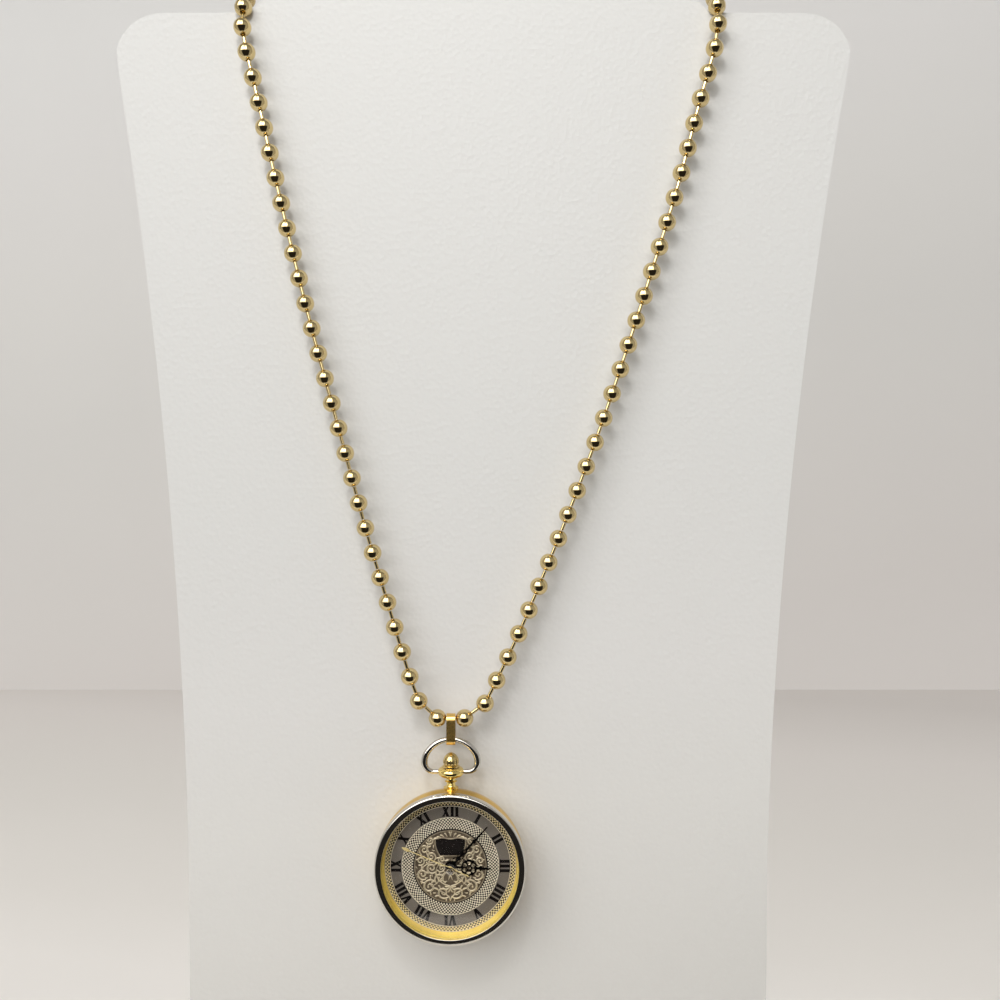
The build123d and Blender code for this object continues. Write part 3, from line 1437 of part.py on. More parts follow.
# Fourth wheel: its long arbor runs through the centre wheel and carries the seconds hand
seconds_top = seconds_hand_rear + hand_thickness
with BuildPart() as fourth_wheel:
    disc((0, 0), fourth_arbor_radius, train_bridge_rear + keyless_gap, seconds_top)
    fourth_pinion_phase = third_angle + 180 / fourth_pinion_teeth
    gear((0, 0), third_wheel_rear - keyless_gap, fourth_pinion_front, fourth_pinion_teeth, third_module,
         fourth_pinion_phase)
    gear((0, 0), fourth_wheel_rear, fourth_wheel_front, fourth_teeth, fourth_module, escape_angle)
    fourth_rim = pitch_radius(fourth_teeth, fourth_module) - rim_width
    windows((0, 0), fourth_wheel_rear, fourth_wheel_front, fourth_rim, wheel_hub_radius, wheel_spokes)
    disc((0, 0), 2 * arbor_radius, fourth_wheel_rear - keyless_gap / 2, fourth_wheel_front + keyless_gap)
finish(fourth_wheel, "fourth_wheel")

# Escape wheel: fifteen leaning teeth
pallet_direction = escape_to_balance
with BuildPart() as escape_wheel:
    pivoted_arbor(escape_place, plate_shoulder, bridge_shoulder)
    escape_pinion_phase = escape_angle + 180 + 180 / escape_pinion_teeth
    gear(escape_place, escape_pinion_rear, escape_pinion_front, escape_pinion_teeth, fourth_module,
         escape_pinion_phase)
    escape_step = 360 / escape_teeth
    escape_corners = []
    for tooth in range(escape_teeth):
        tooth_angle = pallet_direction + pallet_spread + escape_step * (tooth + 1 / 2)
        escape_corners.append(polar(escape_root_radius, tooth_angle - escape_foot_width))
        escape_corners.append(polar(escape_radius, tooth_angle + escape_lean - escape_tip_width))
        escape_corners.append(polar(escape_radius, tooth_angle + escape_lean))
        escape_corners.append(polar(escape_root_radius, tooth_angle + escape_tip_width))
    with BuildSketch(level(escape_wheel_rear, escape_place)) as escape_blank:
        with BuildLine():
            Polyline(*escape_corners, close=True)
        make_face()
    extrude(escape_blank.sketch, amount=escape_wheel_front - escape_wheel_rear)
    windows(escape_place, escape_wheel_rear, escape_wheel_front, escape_root_radius - rim_width / 2,
            wheel_hub_radius, escape_spokes)
finish(escape_wheel, "escape_wheel")

# Pallet fork: two arms with stones about the escape wheel, and a lever that ends in the fork
stone_reach = escape_radius + pallet_gap
with BuildPart() as pallet_fork:
    disc(pallet_place, arbor_radius, pallet_bridge_front + pivot_fit, plate_shoulder)
    disc(pallet_place, pivot_radius, pallet_bridge_front - pivot_length, plate_shoulder + pivot_length)
    for side in (-1, 1):
        stone_angle = pallet_direction + side * pallet_spread
        stone_root = polar(stone_reach + pallet_stone_length, stone_angle, escape_place)
        bar((pallet_place, stone_root), lever_width / 2, pallet_rear, pallet_front)
        with BuildSketch(level(pallet_rear, escape_place, stone_angle)) as stone:
            with Locations((stone_reach, 0)):
                Rectangle(pallet_stone_length, pallet_stone_width, align=(Align.MIN, Align.CENTER))
        extrude(stone.sketch, amount=pallet_front - pallet_rear)
    disc(pallet_place, 2 * arbor_radius, pallet_rear, pallet_front)
    with BuildSketch(level(pallet_rear, pallet_place, pallet_to_balance)) as lever:
        Rectangle(lever_length, lever_width, align=(Align.MIN, Align.CENTER))
        with Locations((lever_length - fork_length, 0)):
            Rectangle(fork_length, fork_width, align=(Align.MIN, Align.CENTER))
        with Locations((lever_length, 0)):
            Rectangle(2 * fork_length, fork_notch, mode=Mode.SUBTRACT)
    extrude(lever.sketch, amount=pallet_front - pallet_rear)
finish(pallet_fork, "pallet_fork")

# Balance: rim with three arms, staff, and a roller whose pin drives the fork
with BuildPart() as balance_wheel:
    disc(balance_place, balance_radius, balance_rear, balance_front)
    windows(balance_place, balance_rear, balance_front, balance_radius - balance_rim_width, wheel_hub_radius,
            balance_spokes, 90)
    disc(balance_place, balance_staff_radius, cock_front + pivot_fit, plate_shoulder)
    disc(balance_place, pivot_radius, cock_front - pivot_length, plate_shoulder + pivot_length)
    disc(balance_place, roller_radius, roller_rear, roller_front)
    impulse_place = polar(roller_radius - 2 * impulse_pin_radius, pallet_to_balance + 180, balance_place)
    disc(impulse_place, impulse_pin_radius, roller_front, pallet_front)
finish(balance_wheel, "balance_wheel")

with BuildPart() as hairspring:
    spiral_strip(balance_place, hairspring_rear, hairspring_front - hairspring_rear, hairspring_inner_radius,
                 hairspring_outer_radius, hairspring_strip, hairspring_turns)
finish(hairspring, "hairspring")

# Motion works: minute wheel and hour wheel
with BuildPart() as minute_wheel:
    gear(minute_wheel_place, motion_rear, motion_front, minute_wheel_teeth, motion_module, 90)
    gear(minute_wheel_place, motion_front, hour_wheel_front, minute_pinion_teeth, hour_module, 90)
    disc(minute_wheel_place, post_radius + shaft_fit, motion_rear - overrun, hour_wheel_front + overrun,
         Mode.SUBTRACT)
finish(minute_wheel, "minute_wheel")

with BuildPart() as hour_wheel:
    disc((0, 0), hour_pipe_radius, hour_wheel_rear, hour_hand_rear + hand_thickness)
    gear((0, 0), hour_wheel_rear, hour_wheel_front, hour_wheel_teeth, hour_module, 90)
    disc((0, 0), cannon_pipe_radius + pipe_fit, hour_wheel_rear - overrun, hour_hand_rear + hand_gap,
         Mode.SUBTRACT)
finish(hour_wheel, "hour_wheel")

with BuildPart() as setting_wheel:
    gear(setting_wheel_place, motion_rear, motion_front, setting_wheel_teeth, motion_module,
         90 + 180 / setting_wheel_teeth)
    disc(setting_wheel_place, post_radius + shaft_fit, motion_rear - overrun, motion_front + overrun,
         Mode.SUBTRACT)
finish(setting_wheel, "setting_wheel")


def dogs(start, height, count, width, turn):
    """Teeth on the end face of a pinion that slides on the stem."""
    with BuildSketch(across(start)) as teeth:
        with PolarLocations((slider_radius + dog_inner_radius) / 2, count, start_angle=turn):
            Rectangle(slider_radius - dog_inner_radius, width)
    extrude(teeth.sketch, amount=height)


# Winding pinion: turns the crown wheel, and the sliding pinion's teeth grip its inner end
dog_turn = 360 / dog_count / 2
with BuildPart() as winding_pinion:
    toothed(across(winding_inner_end), winding_teeth, winding_module, 90 + 180 / winding_teeth, winding_length)
    rod(winding_bore_radius, winding_inner_end - overrun, winding_outer_end + overrun, Mode.SUBTRACT)
    dogs(winding_inner_end - dog_height, dog_height, dog_count, dog_width, dog_turn)
finish(winding_pinion, "winding_pinion")

with BuildPart() as sliding_pinion:
    slider_body_start = slider_inner_end + dog_height
    slider_body_end = slider_outer_end - dog_height
    rod(slider_radius, slider_body_start, slider_body_end)
    with BuildSketch(across(slider_groove_start)) as yoke_groove:
        Circle(slider_radius + overrun)
        Circle(slider_groove_radius, mode=Mode.SUBTRACT)
    extrude(yoke_groove.sketch, amount=slider_groove_width, mode=Mode.SUBTRACT)
    dogs(slider_inner_end, dog_height, setting_tooth_count, setting_tooth_width, 90)
    dogs(slider_body_end, dog_height, dog_count, dog_width, 0)
    square_rod(slider_square, slider_inner_end - overrun, slider_outer_end + overrun, Mode.SUBTRACT)
finish(sliding_pinion, "sliding_pinion")

# Winding stem: pilot, square, round waist, grooved collar and long outer end under the crown
with BuildPart() as winding_stem:
    rod(stem_pilot_radius, stem_inner_end, stem_square_start)
    square_rod(stem_square, stem_square_start, stem_square_end)
    rod(stem_waist_radius, stem_square_end, stem_collar_start)
    rod(stem_radius, stem_collar_start, stem_groove_start)
    rod(stem_waist_radius, stem_groove_start, stem_groove_start + stem_groove_width)
    rod(stem_radius, stem_groove_start + stem_groove_width, crown_bottom + crown_bore_depth)
finish(winding_stem, "winding_stem")

# Setting lever: its pin rides in the stem's groove
with BuildPart() as setting_lever:
    bar((lever_pivot, (0, groove_middle)), lever_arm_radius, lever_rear, lever_front)
    disc((0, groove_middle), lever_pin_radius, stem_waist_radius + shaft_fit, lever_rear)
    disc(lever_pivot, pivot_screw_radius, plate_front - screw_depth / 2, lever_rear)
finish(setting_lever, "setting_lever")

# Yoke: its nib rides in the sliding pinion's groove
with BuildPart() as yoke:
    bar((yoke_pivot, (0, slider_groove_middle)), yoke_arm_radius, lever_rear, lever_front)
    disc((0, slider_groove_middle), yoke_pin_radius, slider_groove_radius + shaft_fit, lever_rear)
    disc(yoke_pivot, 2 * yoke_arm_radius, lever_rear, lever_front)
    disc(yoke_pivot, pivot_screw_radius, plate_front - screw_depth / 2, lever_rear)
finish(yoke, "yoke")


def told(name, place):
    """Prints a point of the model in metres."""
    print(name, [round(value / 1000, 7) for value in (place.X, place.Y, place.Z)])


def dial_point(place):
    """A place of the dial as a point of the model."""
    return watch_centre + Vector(place[0], 0, place[1])


told("watch_centre", watch_centre)
told("link_point", link_point)
told("bow_pivot", watch_centre + Vector(0, 0, bow_pivot_height))
told("pendant_pivot", watch_centre + Vector(0, 0, pendant_pivot_height))
told("left_swing", left_swing)
told("right_swing", right_swing)
for name, place in (
    ("barrel", barrel_place),
    ("third", third_place),
    ("escape", escape_place),
    ("pallet", pallet_place),
    ("balance", balance_place),
    ("minute_wheel", minute_wheel_place),
    ("setting_wheel", setting_wheel_place),
    ("crown_wheel", crown_wheel_centre),
    ("click", click_place),
    ("setting_lever", lever_pivot),
    ("yoke", yoke_pivot),
):
    told(name, dial_point(place))
told("case_back", watch_centre + Vector(0, -back_outside, 0))
print("balls", left_front_count, len(left_frames), right_front_count, len(right_frames))
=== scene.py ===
import json
import math

import bmesh
import bpy
import numpy as np
from mathutils import Matrix, Vector


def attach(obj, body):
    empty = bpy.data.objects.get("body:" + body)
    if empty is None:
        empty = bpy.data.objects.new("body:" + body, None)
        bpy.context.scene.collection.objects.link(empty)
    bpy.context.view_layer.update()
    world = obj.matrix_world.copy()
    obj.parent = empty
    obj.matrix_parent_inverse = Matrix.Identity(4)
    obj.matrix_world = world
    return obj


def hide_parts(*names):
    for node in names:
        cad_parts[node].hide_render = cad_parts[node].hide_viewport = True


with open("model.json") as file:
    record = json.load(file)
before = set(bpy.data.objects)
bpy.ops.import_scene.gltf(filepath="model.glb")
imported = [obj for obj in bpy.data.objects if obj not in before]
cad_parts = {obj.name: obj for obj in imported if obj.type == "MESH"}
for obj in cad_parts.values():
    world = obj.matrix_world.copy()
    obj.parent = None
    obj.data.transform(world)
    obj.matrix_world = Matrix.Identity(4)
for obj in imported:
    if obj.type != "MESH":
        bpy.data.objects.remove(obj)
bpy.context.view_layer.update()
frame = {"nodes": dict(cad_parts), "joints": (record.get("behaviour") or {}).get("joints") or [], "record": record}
nodes = frame["nodes"]
centre = next(Vector(joint["pos_m"]) for joint in frame["joints"] if joint["name"] == "minutes_run")
MM = 0.001

# Heights above the watch's middle plane, in millimetres towards the viewer
TRACK_HEIGHT = 2.22
DIAL_HEIGHT = 2.30
MEDALLION_HEIGHT = 2.42
RELIEF_TOP = 2.56
HOUR_HAND_HEIGHTS = (2.62, 2.77)
MINUTE_HAND_HEIGHTS = (3.09, 3.24)
SECONDS_HUB_HEIGHTS = (3.5, 3.57)
SECONDS_HAND_HEIGHTS = (3.56, 3.71)


# ---------------------------------------------------------------- mesh helpers
def spot(across, up, height):
    """A point given in millimetres right of, above and in front of the watch's middle."""
    return centre + MM * Vector((across, -height, up))


def clock(radius, degrees):
    """Right and up, in millimetres, of a point on the dial at an angle clockwise from twelve."""
    angle = math.radians(degrees)
    return radius * math.sin(angle), radius * math.cos(angle)


def even_turns(steps):
    """Even angles round a full turn, in radians."""
    return [2 * math.pi * k / steps for k in range(steps)]


def shade(mesh, smooth):
    """Smooth shading with sharp edges above an angle in degrees, or flat shading for None."""
    mesh.polygons.foreach_set("use_smooth", [smooth is not None] * len(mesh.polygons))
    if smooth is not None:
        mesh.set_sharp_from_angle(angle=math.radians(smooth))


def new_object(name, data):
    """An object linked to the scene."""
    thing = bpy.data.objects.new(name, data)
    bpy.context.scene.collection.objects.link(thing)
    return thing


def add_piece(name, mesh, material, body, replaced=(), smooth=None):
    """Links a finished mesh as a piece that rides on a body."""
    mesh.name = name
    piece = new_object(name, mesh)
    mesh.materials.append(material)
    shade(mesh, smooth)
    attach(piece, body)
    if replaced:
        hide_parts(*replaced)


def mesh_from(form, outwards=True):
    """A mesh from a bmesh, its faces turned outwards unless it is open."""
    if outwards:
        bmesh.ops.recalc_face_normals(form, faces=form.faces)
    mesh = bpy.data.meshes.new("form")
    form.to_mesh(mesh)
    form.free()
    return mesh


def add_sides(form, rear, front):
    """Closes the gap between two rings of corners."""
    for i, corner in enumerate(rear):
        j = (i + 1) % len(rear)
        form.faces.new((corner, rear[j], front[j], front[i]))


def add_slab(form, outline, low, high, shrink=0.0):
    """Adds a flat plate between two heights, its front a little smaller for a soft edge."""
    middle = Vector((sum(a for a, u in outline), sum(u for a, u in outline))) / len(outline)
    rear = [form.verts.new(spot(a, u, low)) for a, u in outline]
    front = [
        form.verts.new(spot(*(middle + (Vector(point) - middle) * (1 - shrink)), high))
        for point in outline
    ]
    form.faces.new(rear)
    form.faces.new(front)
    add_sides(form, rear, front)


PLATE_EDGE = 0.02


def plate_mesh(outlines, low, high):
    """A plate with rounded edges and holes: outlines that lie inside others are holes."""
    curve = bpy.data.curves.new("plate", "CURVE")
    curve.dimensions = "2D"
    curve.fill_mode = "BOTH"
    curve.extrude = MM * ((high - low) / 2 - PLATE_EDGE)
    curve.bevel_depth = MM * PLATE_EDGE
    curve.bevel_resolution = 1
    curve.offset = -MM * PLATE_EDGE
    for outline in outlines:
        spline = curve.splines.new("POLY")
        spline.points.add(len(outline) - 1)
        for point, (a, u) in zip(spline.points, outline):
            point.co = (MM * a, MM * u, 0, 1)
        spline.use_cyclic_u = True
    maker = bpy.data.objects.new("plate", curve)
    mesh = bpy.data.meshes.new_from_object(maker)
    bpy.data.objects.remove(maker)
    bpy.data.curves.remove(curve)
    upright = Matrix.Rotation(math.pi / 2, 4, "X")
    mesh.transform(Matrix.Translation(spot(0, 0, (low + high) / 2)) @ upright)
    return mesh


def add_turned(form, profile, origin, axis, steps, ring=False):
    """Adds a form turned about an axis from (along, radius) points in metres.

    As a ring the profile closes on itself, otherwise both its ends lie on the axis.
    """
    axis = axis.normalized()
    side = axis.orthogonal().normalized()
    other = axis.cross(side)
    spokes = [side * math.cos(turn) + other * math.sin(turn) for turn in even_turns(steps)]
    rings = []
    for along, radius in profile:
        if radius == 0:
            rings.append([form.verts.new(origin + axis * along)])
        else:
            rings.append([form.verts.new(origin + axis * along + spoke * radius) for spoke in spokes])
    pairs = list(zip(rings, rings[1:]))
    if ring:
        pairs.append((rings[-1], rings[0]))
    for first, second in pairs:
        for k in range(steps):
            n = (k + 1) % steps
            if len(first) == 1:
                form.faces.new((first[0], second[k], second[n]))
            elif len(second) == 1:
                form.faces.new((first[k], first[n], second[0]))
            else:
                form.faces.new((first[k], first[n], second[n], second[k]))


# ---------------------------------------------------------------- node trees
class Shading:
    """The node tree of a material or a world, with short ways to add nodes.

    A value that is the output of another node is linked, any other becomes the input's own value.
    """

    def __init__(self, owner):
        owner.use_nodes = True
        self.nodes = owner.node_tree.nodes
        self.links = owner.node_tree.links

    def put(self, node, *in_order, **by_name):
        """Fills a node's inputs; names have _ for a space."""
        pairs = list(zip(node.inputs, in_order))
        pairs += [(node.inputs[name.replace("_", " ")], value) for name, value in by_name.items()]
        for socket, value in pairs:
            if isinstance(value, bpy.types.NodeSocket):
                self.links.new(value, socket)
            else:
                socket.default_value = value

    def add(self, kind, *in_order, **by_name):
        """A new node; names in lower case are its settings, the others its inputs."""
        node = self.nodes.new("ShaderNode" + kind)
        for name in [name for name in by_name if name.islower()]:
            setattr(node, name, by_name.pop(name))
        self.put(node, *in_order, **by_name)
        return node

    def place(self):
        return self.add("TexCoord").outputs["Object"]

    def calc(self, operation, *values):
        return self.add("Math", *values, operation=operation).outputs["Value"]

    def mix(self, factor, first, second):
        mixer = self.add("Mix", data_type="RGBA", Factor=factor, A=first, B=second)
        return mixer.outputs["Result"]

    def spread(self, value, **ends):
        return self.add("MapRange", Value=value, **ends).outputs["Result"]

    def noise(self, place, **values):
        return self.add("TexNoise", Vector=place, **values).outputs["Fac"]

    def bump(self, height, strength, distance):
        relief = self.add("Bump", Height=height, Strength=strength, Distance=distance)
        return relief.outputs["Normal"]

    def ramp(self, factor, stops, interpolation="LINEAR"):
        """Passes through (position, colour) stops."""
        node = self.add("ValToRGB", Fac=factor)
        node.color_ramp.interpolation = interpolation
        first, last = node.color_ramp.elements
        first.position, first.color = stops[0]
        last.position, last.color = stops[-1]
        for position, tone in stops[1:-1]:
            node.color_ramp.elements.new(position).color = tone
        return node.outputs["Color"]

    def choose(self, output, choice, first, second):
        """Shows the first shader where the choice is 0 and the second where it is 1."""
        either = self.add("MixShader", choice, first, second)
        self.put(self.nodes[output], Surface=either.outputs["Shader"])


def new_material(name):
    """A material, its node tree and its Principled shader."""
    material = bpy.data.materials.new(name)
    tree = Shading(material)
    return material, tree, tree.nodes["Principled BSDF"]


def colour(red, green, blue):
    """A linear colour from screen values of 0 to 255."""
    return tuple(
        (c / 12.92 if c <= 0.04045 else ((c + 0.055) / 1.055) ** 2.4)
        for c in (red / 255, green / 255, blue / 255)
    ) + (1.0,)


# ---------------------------------------------------------------- materials
def metal(name, first, second, rough=(0.12, 0.22), grain=900.0, bump=0.02, brushed=False, metallic=1.0):
    """Metal: two near tones in soft clouds, uneven roughness, fine scratches and a faint swell."""
    material, tree, shader = new_material(name)
    place = tree.place()
    clouds = tree.noise(place, Scale=grain / 3, Detail=4.0)
    stretch = tree.add("Mapping", Vector=place, Scale=(1.0, 1.0, 14.0) if brushed else (3.0, 1.0, 1.0))
    scratches = tree.noise(stretch.outputs["Vector"], Scale=grain * 4, Detail=6.0, Roughness=0.7)
    tree.put(
        shader,
        Metallic=metallic,
        Base_Color=tree.mix(clouds, first, second),
        Roughness=tree.spread(scratches, From_Min=0.3, From_Max=0.7, To_Min=rough[0], To_Max=rough[1]),
        Normal=tree.bump(scratches, bump, 0.0002),
    )
    return material


def solid(name, first, second, rough, bump=0.05):
    """Enamel, nylon or rubber: two near tones in fine grain with a slight bump."""
    return metal(name, first, second, (rough - 0.06, rough + 0.06), 1200.0, bump, metallic=0.0)


def ruby_stone(name):
    """Bearing jewels: clear red stone, a little cloudy."""
    material, tree, shader = new_material(name)
    clouds = tree.noise(tree.place(), Scale=2500.0, Detail=3.0)
    tones = tree.mix(clouds, colour(190, 20, 60), colour(140, 8, 38))
    tree.put(shader, Base_Color=tones, Roughness=0.06, IOR=1.76, Transmission_Weight=0.35)
    return material


def clear_glass(name):
    """Crystal: clear glass with faint smears in its gloss; its shadow rays pass through."""
    material, tree, shader = new_material(name)
    smears = tree.noise(tree.place(), Scale=300.0, Detail=4.0)
    gloss = tree.spread(smears, To_Min=0.0, To_Max=0.05)
    tree.put(shader, Base_Color=(1, 1, 1, 1), Roughness=gloss, IOR=1.49, Transmission_Weight=1.0)
    rays = tree.add("LightPath").outputs["Is Shadow Ray"]
    passing = tree.add("BsdfTransparent").outputs["BSDF"]
    tree.choose("Material Output", rays, shader.outputs["BSDF"], passing)
    return material


def from_middle(tree, place):
    """Where a point lies from the watch's middle, in metres."""
    return tree.add("VectorMath", place, centre, operation="SUBTRACT").outputs["Vector"]


def height_of(tree, offset):
    """How far in front of the watch's middle plane an offset lies, in millimetres."""
    return tree.calc("MULTIPLY", tree.add("SeparateXYZ", offset).outputs["Y"], -1 / MM)


# Radii from which the dial's ground is dark (1) or not (0), and the radius up to which this is laid out
DIAL_GROUNDS = ((0.0, 1), (11.02, 0), (13.49, 1), (14.82, 0))
DIAL_SPAN = 16.0


def dial_metal(name):
    """The dial: satin tracks with a fine radial brush, dark grounds under the studs, ring tops in painted
    highlight.
    """
    material, tree, shader = new_material(name)
    offset = from_middle(tree, tree.place())
    flat = tree.add("VectorMath", offset, (1 / MM, 0.0, 1 / MM), operation="MULTIPLY").outputs["Vector"]
    radius = tree.add("VectorMath", flat, operation="LENGTH").outputs["Value"]
    apart = tree.add("SeparateXYZ", flat)
    angle = tree.calc("ARCTAN2", apart.outputs["X"], apart.outputs["Z"])
    spoke = tree.add("CombineXYZ", angle, tree.calc("MULTIPLY", radius, 0.004))
    brush = tree.noise(spoke.outputs["Vector"], Scale=260.0, Detail=4.0, Roughness=0.6)
    satin = tree.mix(brush, colour(98, 91, 83), colour(132, 124, 114))
    zones = [(edge / DIAL_SPAN, (dark, dark, dark, 1)) for edge, dark in DIAL_GROUNDS]
    under_studs = tree.ramp(tree.calc("DIVIDE", radius, DIAL_SPAN), zones, "CONSTANT")
    grounds = tree.mix(under_studs, satin, colour(30, 24, 21))
    # Painted highlight: faces that stand above the dial's ground, the raised rings' tops, are coloured pale
    painted_ring_top_highlight = tree.calc("GREATER_THAN", height_of(tree, offset), DIAL_HEIGHT + 0.02)
    tree.put(
        shader,
        Metallic=0.5,
        Base_Color=tree.mix(painted_ring_top_highlight, grounds, colour(226, 214, 190)),
        Roughness=tree.spread(brush, To_Min=0.36, To_Max=0.52),
        Normal=tree.bump(brush, 0.15, 0.0001),
    )
    return material


def relief_metal(name):
    """The medallion: champagne silver painted highlight on the raised scrolls, painted shade in the ground between
    them.
    """
    material, tree, shader = new_material(name)
    place = tree.place()
    height = height_of(tree, from_middle(tree, place))
    rise = tree.spread(height, From_Min=MEDALLION_HEIGHT, From_Max=RELIEF_TOP)
    stain = tree.noise(place, Scale=900.0, Detail=5.0)
    # Painted shade and painted highlight by height: dark in the low ground, pale on the ridge tops
    stops = ((0.18, colour(76, 64, 51)), (0.55, colour(146, 132, 109)), (0.98, colour(206, 192, 162)))
    tree.put(
        shader,
        Metallic=0.65,
        Base_Color=tree.ramp(tree.calc("MULTIPLY_ADD", stain, 0.3, rise), stops),
        Roughness=tree.spread(rise, To_Min=0.5, To_Max=0.26),
    )
    return material


gold = metal("gold_plate", colour(250, 226, 150), colour(240, 210, 126), (0.07, 0.16), bump=0.015)
case_gold = metal("case_gold", colour(238, 200, 96), colour(208, 164, 66), (0.09, 0.18), bump=0.015)
crown_gold = metal("crown_gold", colour(230, 206, 146), colour(214, 188, 124), (0.1, 0.2), bump=0.015)
satin_gold = metal(
    "satin_gold", colour(253, 230, 128), colour(240, 208, 96), (0.26, 0.4), brushed=True, metallic=0.65
)
bail_gold = metal("bail_gold", colour(242, 204, 124), colour(222, 178, 96), (0.24, 0.34), bump=0.012)
pale_gold = metal("pale_gold", colour(240, 220, 158), colour(226, 202, 136), (0.2, 0.3), metallic=0.4)
champagne = metal("champagne_plate", colour(228, 207, 156), colour(212, 188, 134), (0.06, 0.13), bump=0.012)
silver = metal("silver_plate", colour(222, 218, 210), colour(204, 199, 190), (0.05, 0.12), bump=0.01)
stud_metal = metal("stud_silver", colour(246, 238, 216), colour(230, 218, 190), (0.2, 0.32), metallic=0.3)
stud_gold = metal("stud_gold", colour(253, 240, 196), colour(242, 218, 156), (0.2, 0.32), metallic=0.3)
enamel = solid("black_enamel", colour(14, 11, 11), colour(20, 16, 16), 0.3, 0.01)
enamel.node_tree.nodes["Principled BSDF"].inputs["Specular IOR Level"].default_value = 0.08
black = metal("black_hand", colour(13, 11, 11), colour(24, 20, 20), (0.18, 0.3))
plaque_metal = metal(
    "plaque", colour(58, 52, 49), colour(46, 41, 39), (0.16, 0.24), brushed=True, metallic=0.8
)
nickel = metal("nickel_plate", colour(205, 202, 196), colour(182, 178, 170), (0.22, 0.36), 600.0, 0.04, True)
gilt = metal("gilt_brass", colour(226, 190, 112), colour(200, 160, 84), (0.2, 0.34), 700.0, 0.03)
steel = metal("steel", colour(198, 200, 204), colour(172, 174, 180), (0.14, 0.26), 800.0, 0.02)
blued = metal("blued_steel", colour(42, 58, 128), colour(26, 38, 96), (0.14, 0.24))
nylon = solid("nylon", colour(226, 222, 208), colour(208, 203, 188), 0.5)
rubber = solid("rubber", colour(34, 33, 33), colour(48, 46, 46), 0.7)
ruby = ruby_stone("ruby")
glass = clear_glass("crystal_glass")
dial_face = dial_metal("dial_silver")
relief = relief_metal("medallion_relief")

by_slot = {
    "gold_plate": gold, "silver_plate": silver, "crystal_glass": glass, "dial_silver": dial_face,
    "black_metal": black, "nylon": nylon, "rubber": rubber, "nickel_plate": nickel, "gilt_brass": gilt,
    "steel": steel, "blued_steel": blued, "ruby": ruby, "champagne_plate": champagne,
}

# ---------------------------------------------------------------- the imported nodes
SHARP_ABOVE = 32
own_material = {
    "bail": bail_gold,
    "dial_medallion": relief,
    "case_middle": case_gold,
    "crown": crown_gold,
    "rehaut_ring": satin_gold,
}
for entry in frame["record"]["subparts"]:
    node = nodes[entry["node"]]
    node.data.materials.clear()
    node.data.materials.append(own_material.get(entry["node"], by_slot[entry["material_slot"]]))
    shade(node.data, SHARP_ABOVE)


# ---------------------------------------------------------------- the chain's balls
BALL_RADIUS = 2.044
MOUTH_RADIUS = 0.56
MOUTH_DEPTH = 0.7
MOUTH_CHAMFER = 0.05
LIP_RADIUS = 0.09
BALL_STEPS = 36
BALL_ARCS = 18
NEIGHBOUR_LIMIT = 8
WELD_DISTANCE = 1e-7


def islands(mesh):
    """The middle of each separate solid of a mesh."""
    form = bmesh.new()
    form.from_mesh(mesh)
    bmesh.ops.remove_doubles(form, verts=form.verts, dist=WELD_DISTANCE)
    seen, middles = set(), []
    for first in form.verts:
        if first in seen:
            continue
        group, todo = [], [first]
        seen.add(first)
        while todo:
            vert = todo.pop()
            group.append(vert.co)
            for edge in vert.link_edges:
                other = edge.other_vert(vert)
                if other not in seen:
                    seen.add(other)
                    todo.append(other)
        low = Vector([min(co[i] for co in group) for i in range(3)])
        high = Vector([max(co[i] for co in group) for i in range(3)])
        middles.append((low + high) / 2)
    form.free()
    return middles


def ball_profile():
    """Half outline of a ball from mouth to mouth, a rolled lip at each, as (along, radius) in metres."""
    lip_angle = math.asin((MOUTH_RADIUS + LIP_RADIUS) / BALL_RADIUS)
    outside = []
    for k in range(BALL_ARCS + 1):
        angle = lip_angle + (math.pi - 2 * lip_angle) * k / BALL_ARCS
        outside.append((-BALL_RADIUS * math.cos(angle), BALL_RADIUS * math.sin(angle)))
    end = BALL_RADIUS * math.cos(lip_angle)
    start_lip = [
        (-end + MOUTH_DEPTH, 0.0),
        (-end + MOUTH_DEPTH - MOUTH_CHAMFER, MOUTH_RADIUS),
        (-end + LIP_RADIUS, MOUTH_RADIUS),
        (-end + 0.3 * LIP_RADIUS, MOUTH_RADIUS + 0.3 * LIP_RADIUS),
    ]
    profile = start_lip + outside + [(-a, r) for a, r in reversed(start_lip)]
    return [(MM * a, MM * r) for a, r in profile]


body_of = {"chain_front_balls": "front_chain", "chain_neck_balls": "neck_chain"}
middles_of = {name: islands(nodes[name].data) for name in body_of}
every_middle = sum(middles_of.values(), [])


def chain_direction(middle):
    """The chain's line through a ball, from the balls beside it."""
    near = sorted(every_middle, key=lambda other: (other - middle).length)[1:3]
    beside = [other for other in near if (other - middle).length < MM * NEIGHBOUR_LIMIT]
    if len(beside) == 2:
        return beside[0] - beside[1]
    return beside[0] - middle


for name, body in body_of.items():
    form = bmesh.new()
    for middle in middles_of[name]:
        add_turned(form, ball_profile(), middle, chain_direction(middle), BALL_STEPS)
    add_piece(name + "_polished", mesh_from(form), champagne, body, (name,), 50)


# ---------------------------------------------------------------- bezel
BEZEL_STEPS = 180


def add_ring(name, profile, material, replaced=(), smooth=None):
    """A ring of the case, turned from (height, radius) points in millimetres."""
    form = bmesh.new()
    in_metres = [(MM * height, MM * radius) for height, radius in profile]
    add_turned(form, in_metres, centre, Vector((0, -1, 0)), BEZEL_STEPS, ring=True)
    add_piece(name, mesh_from(form), material, "case", replaced, smooth)


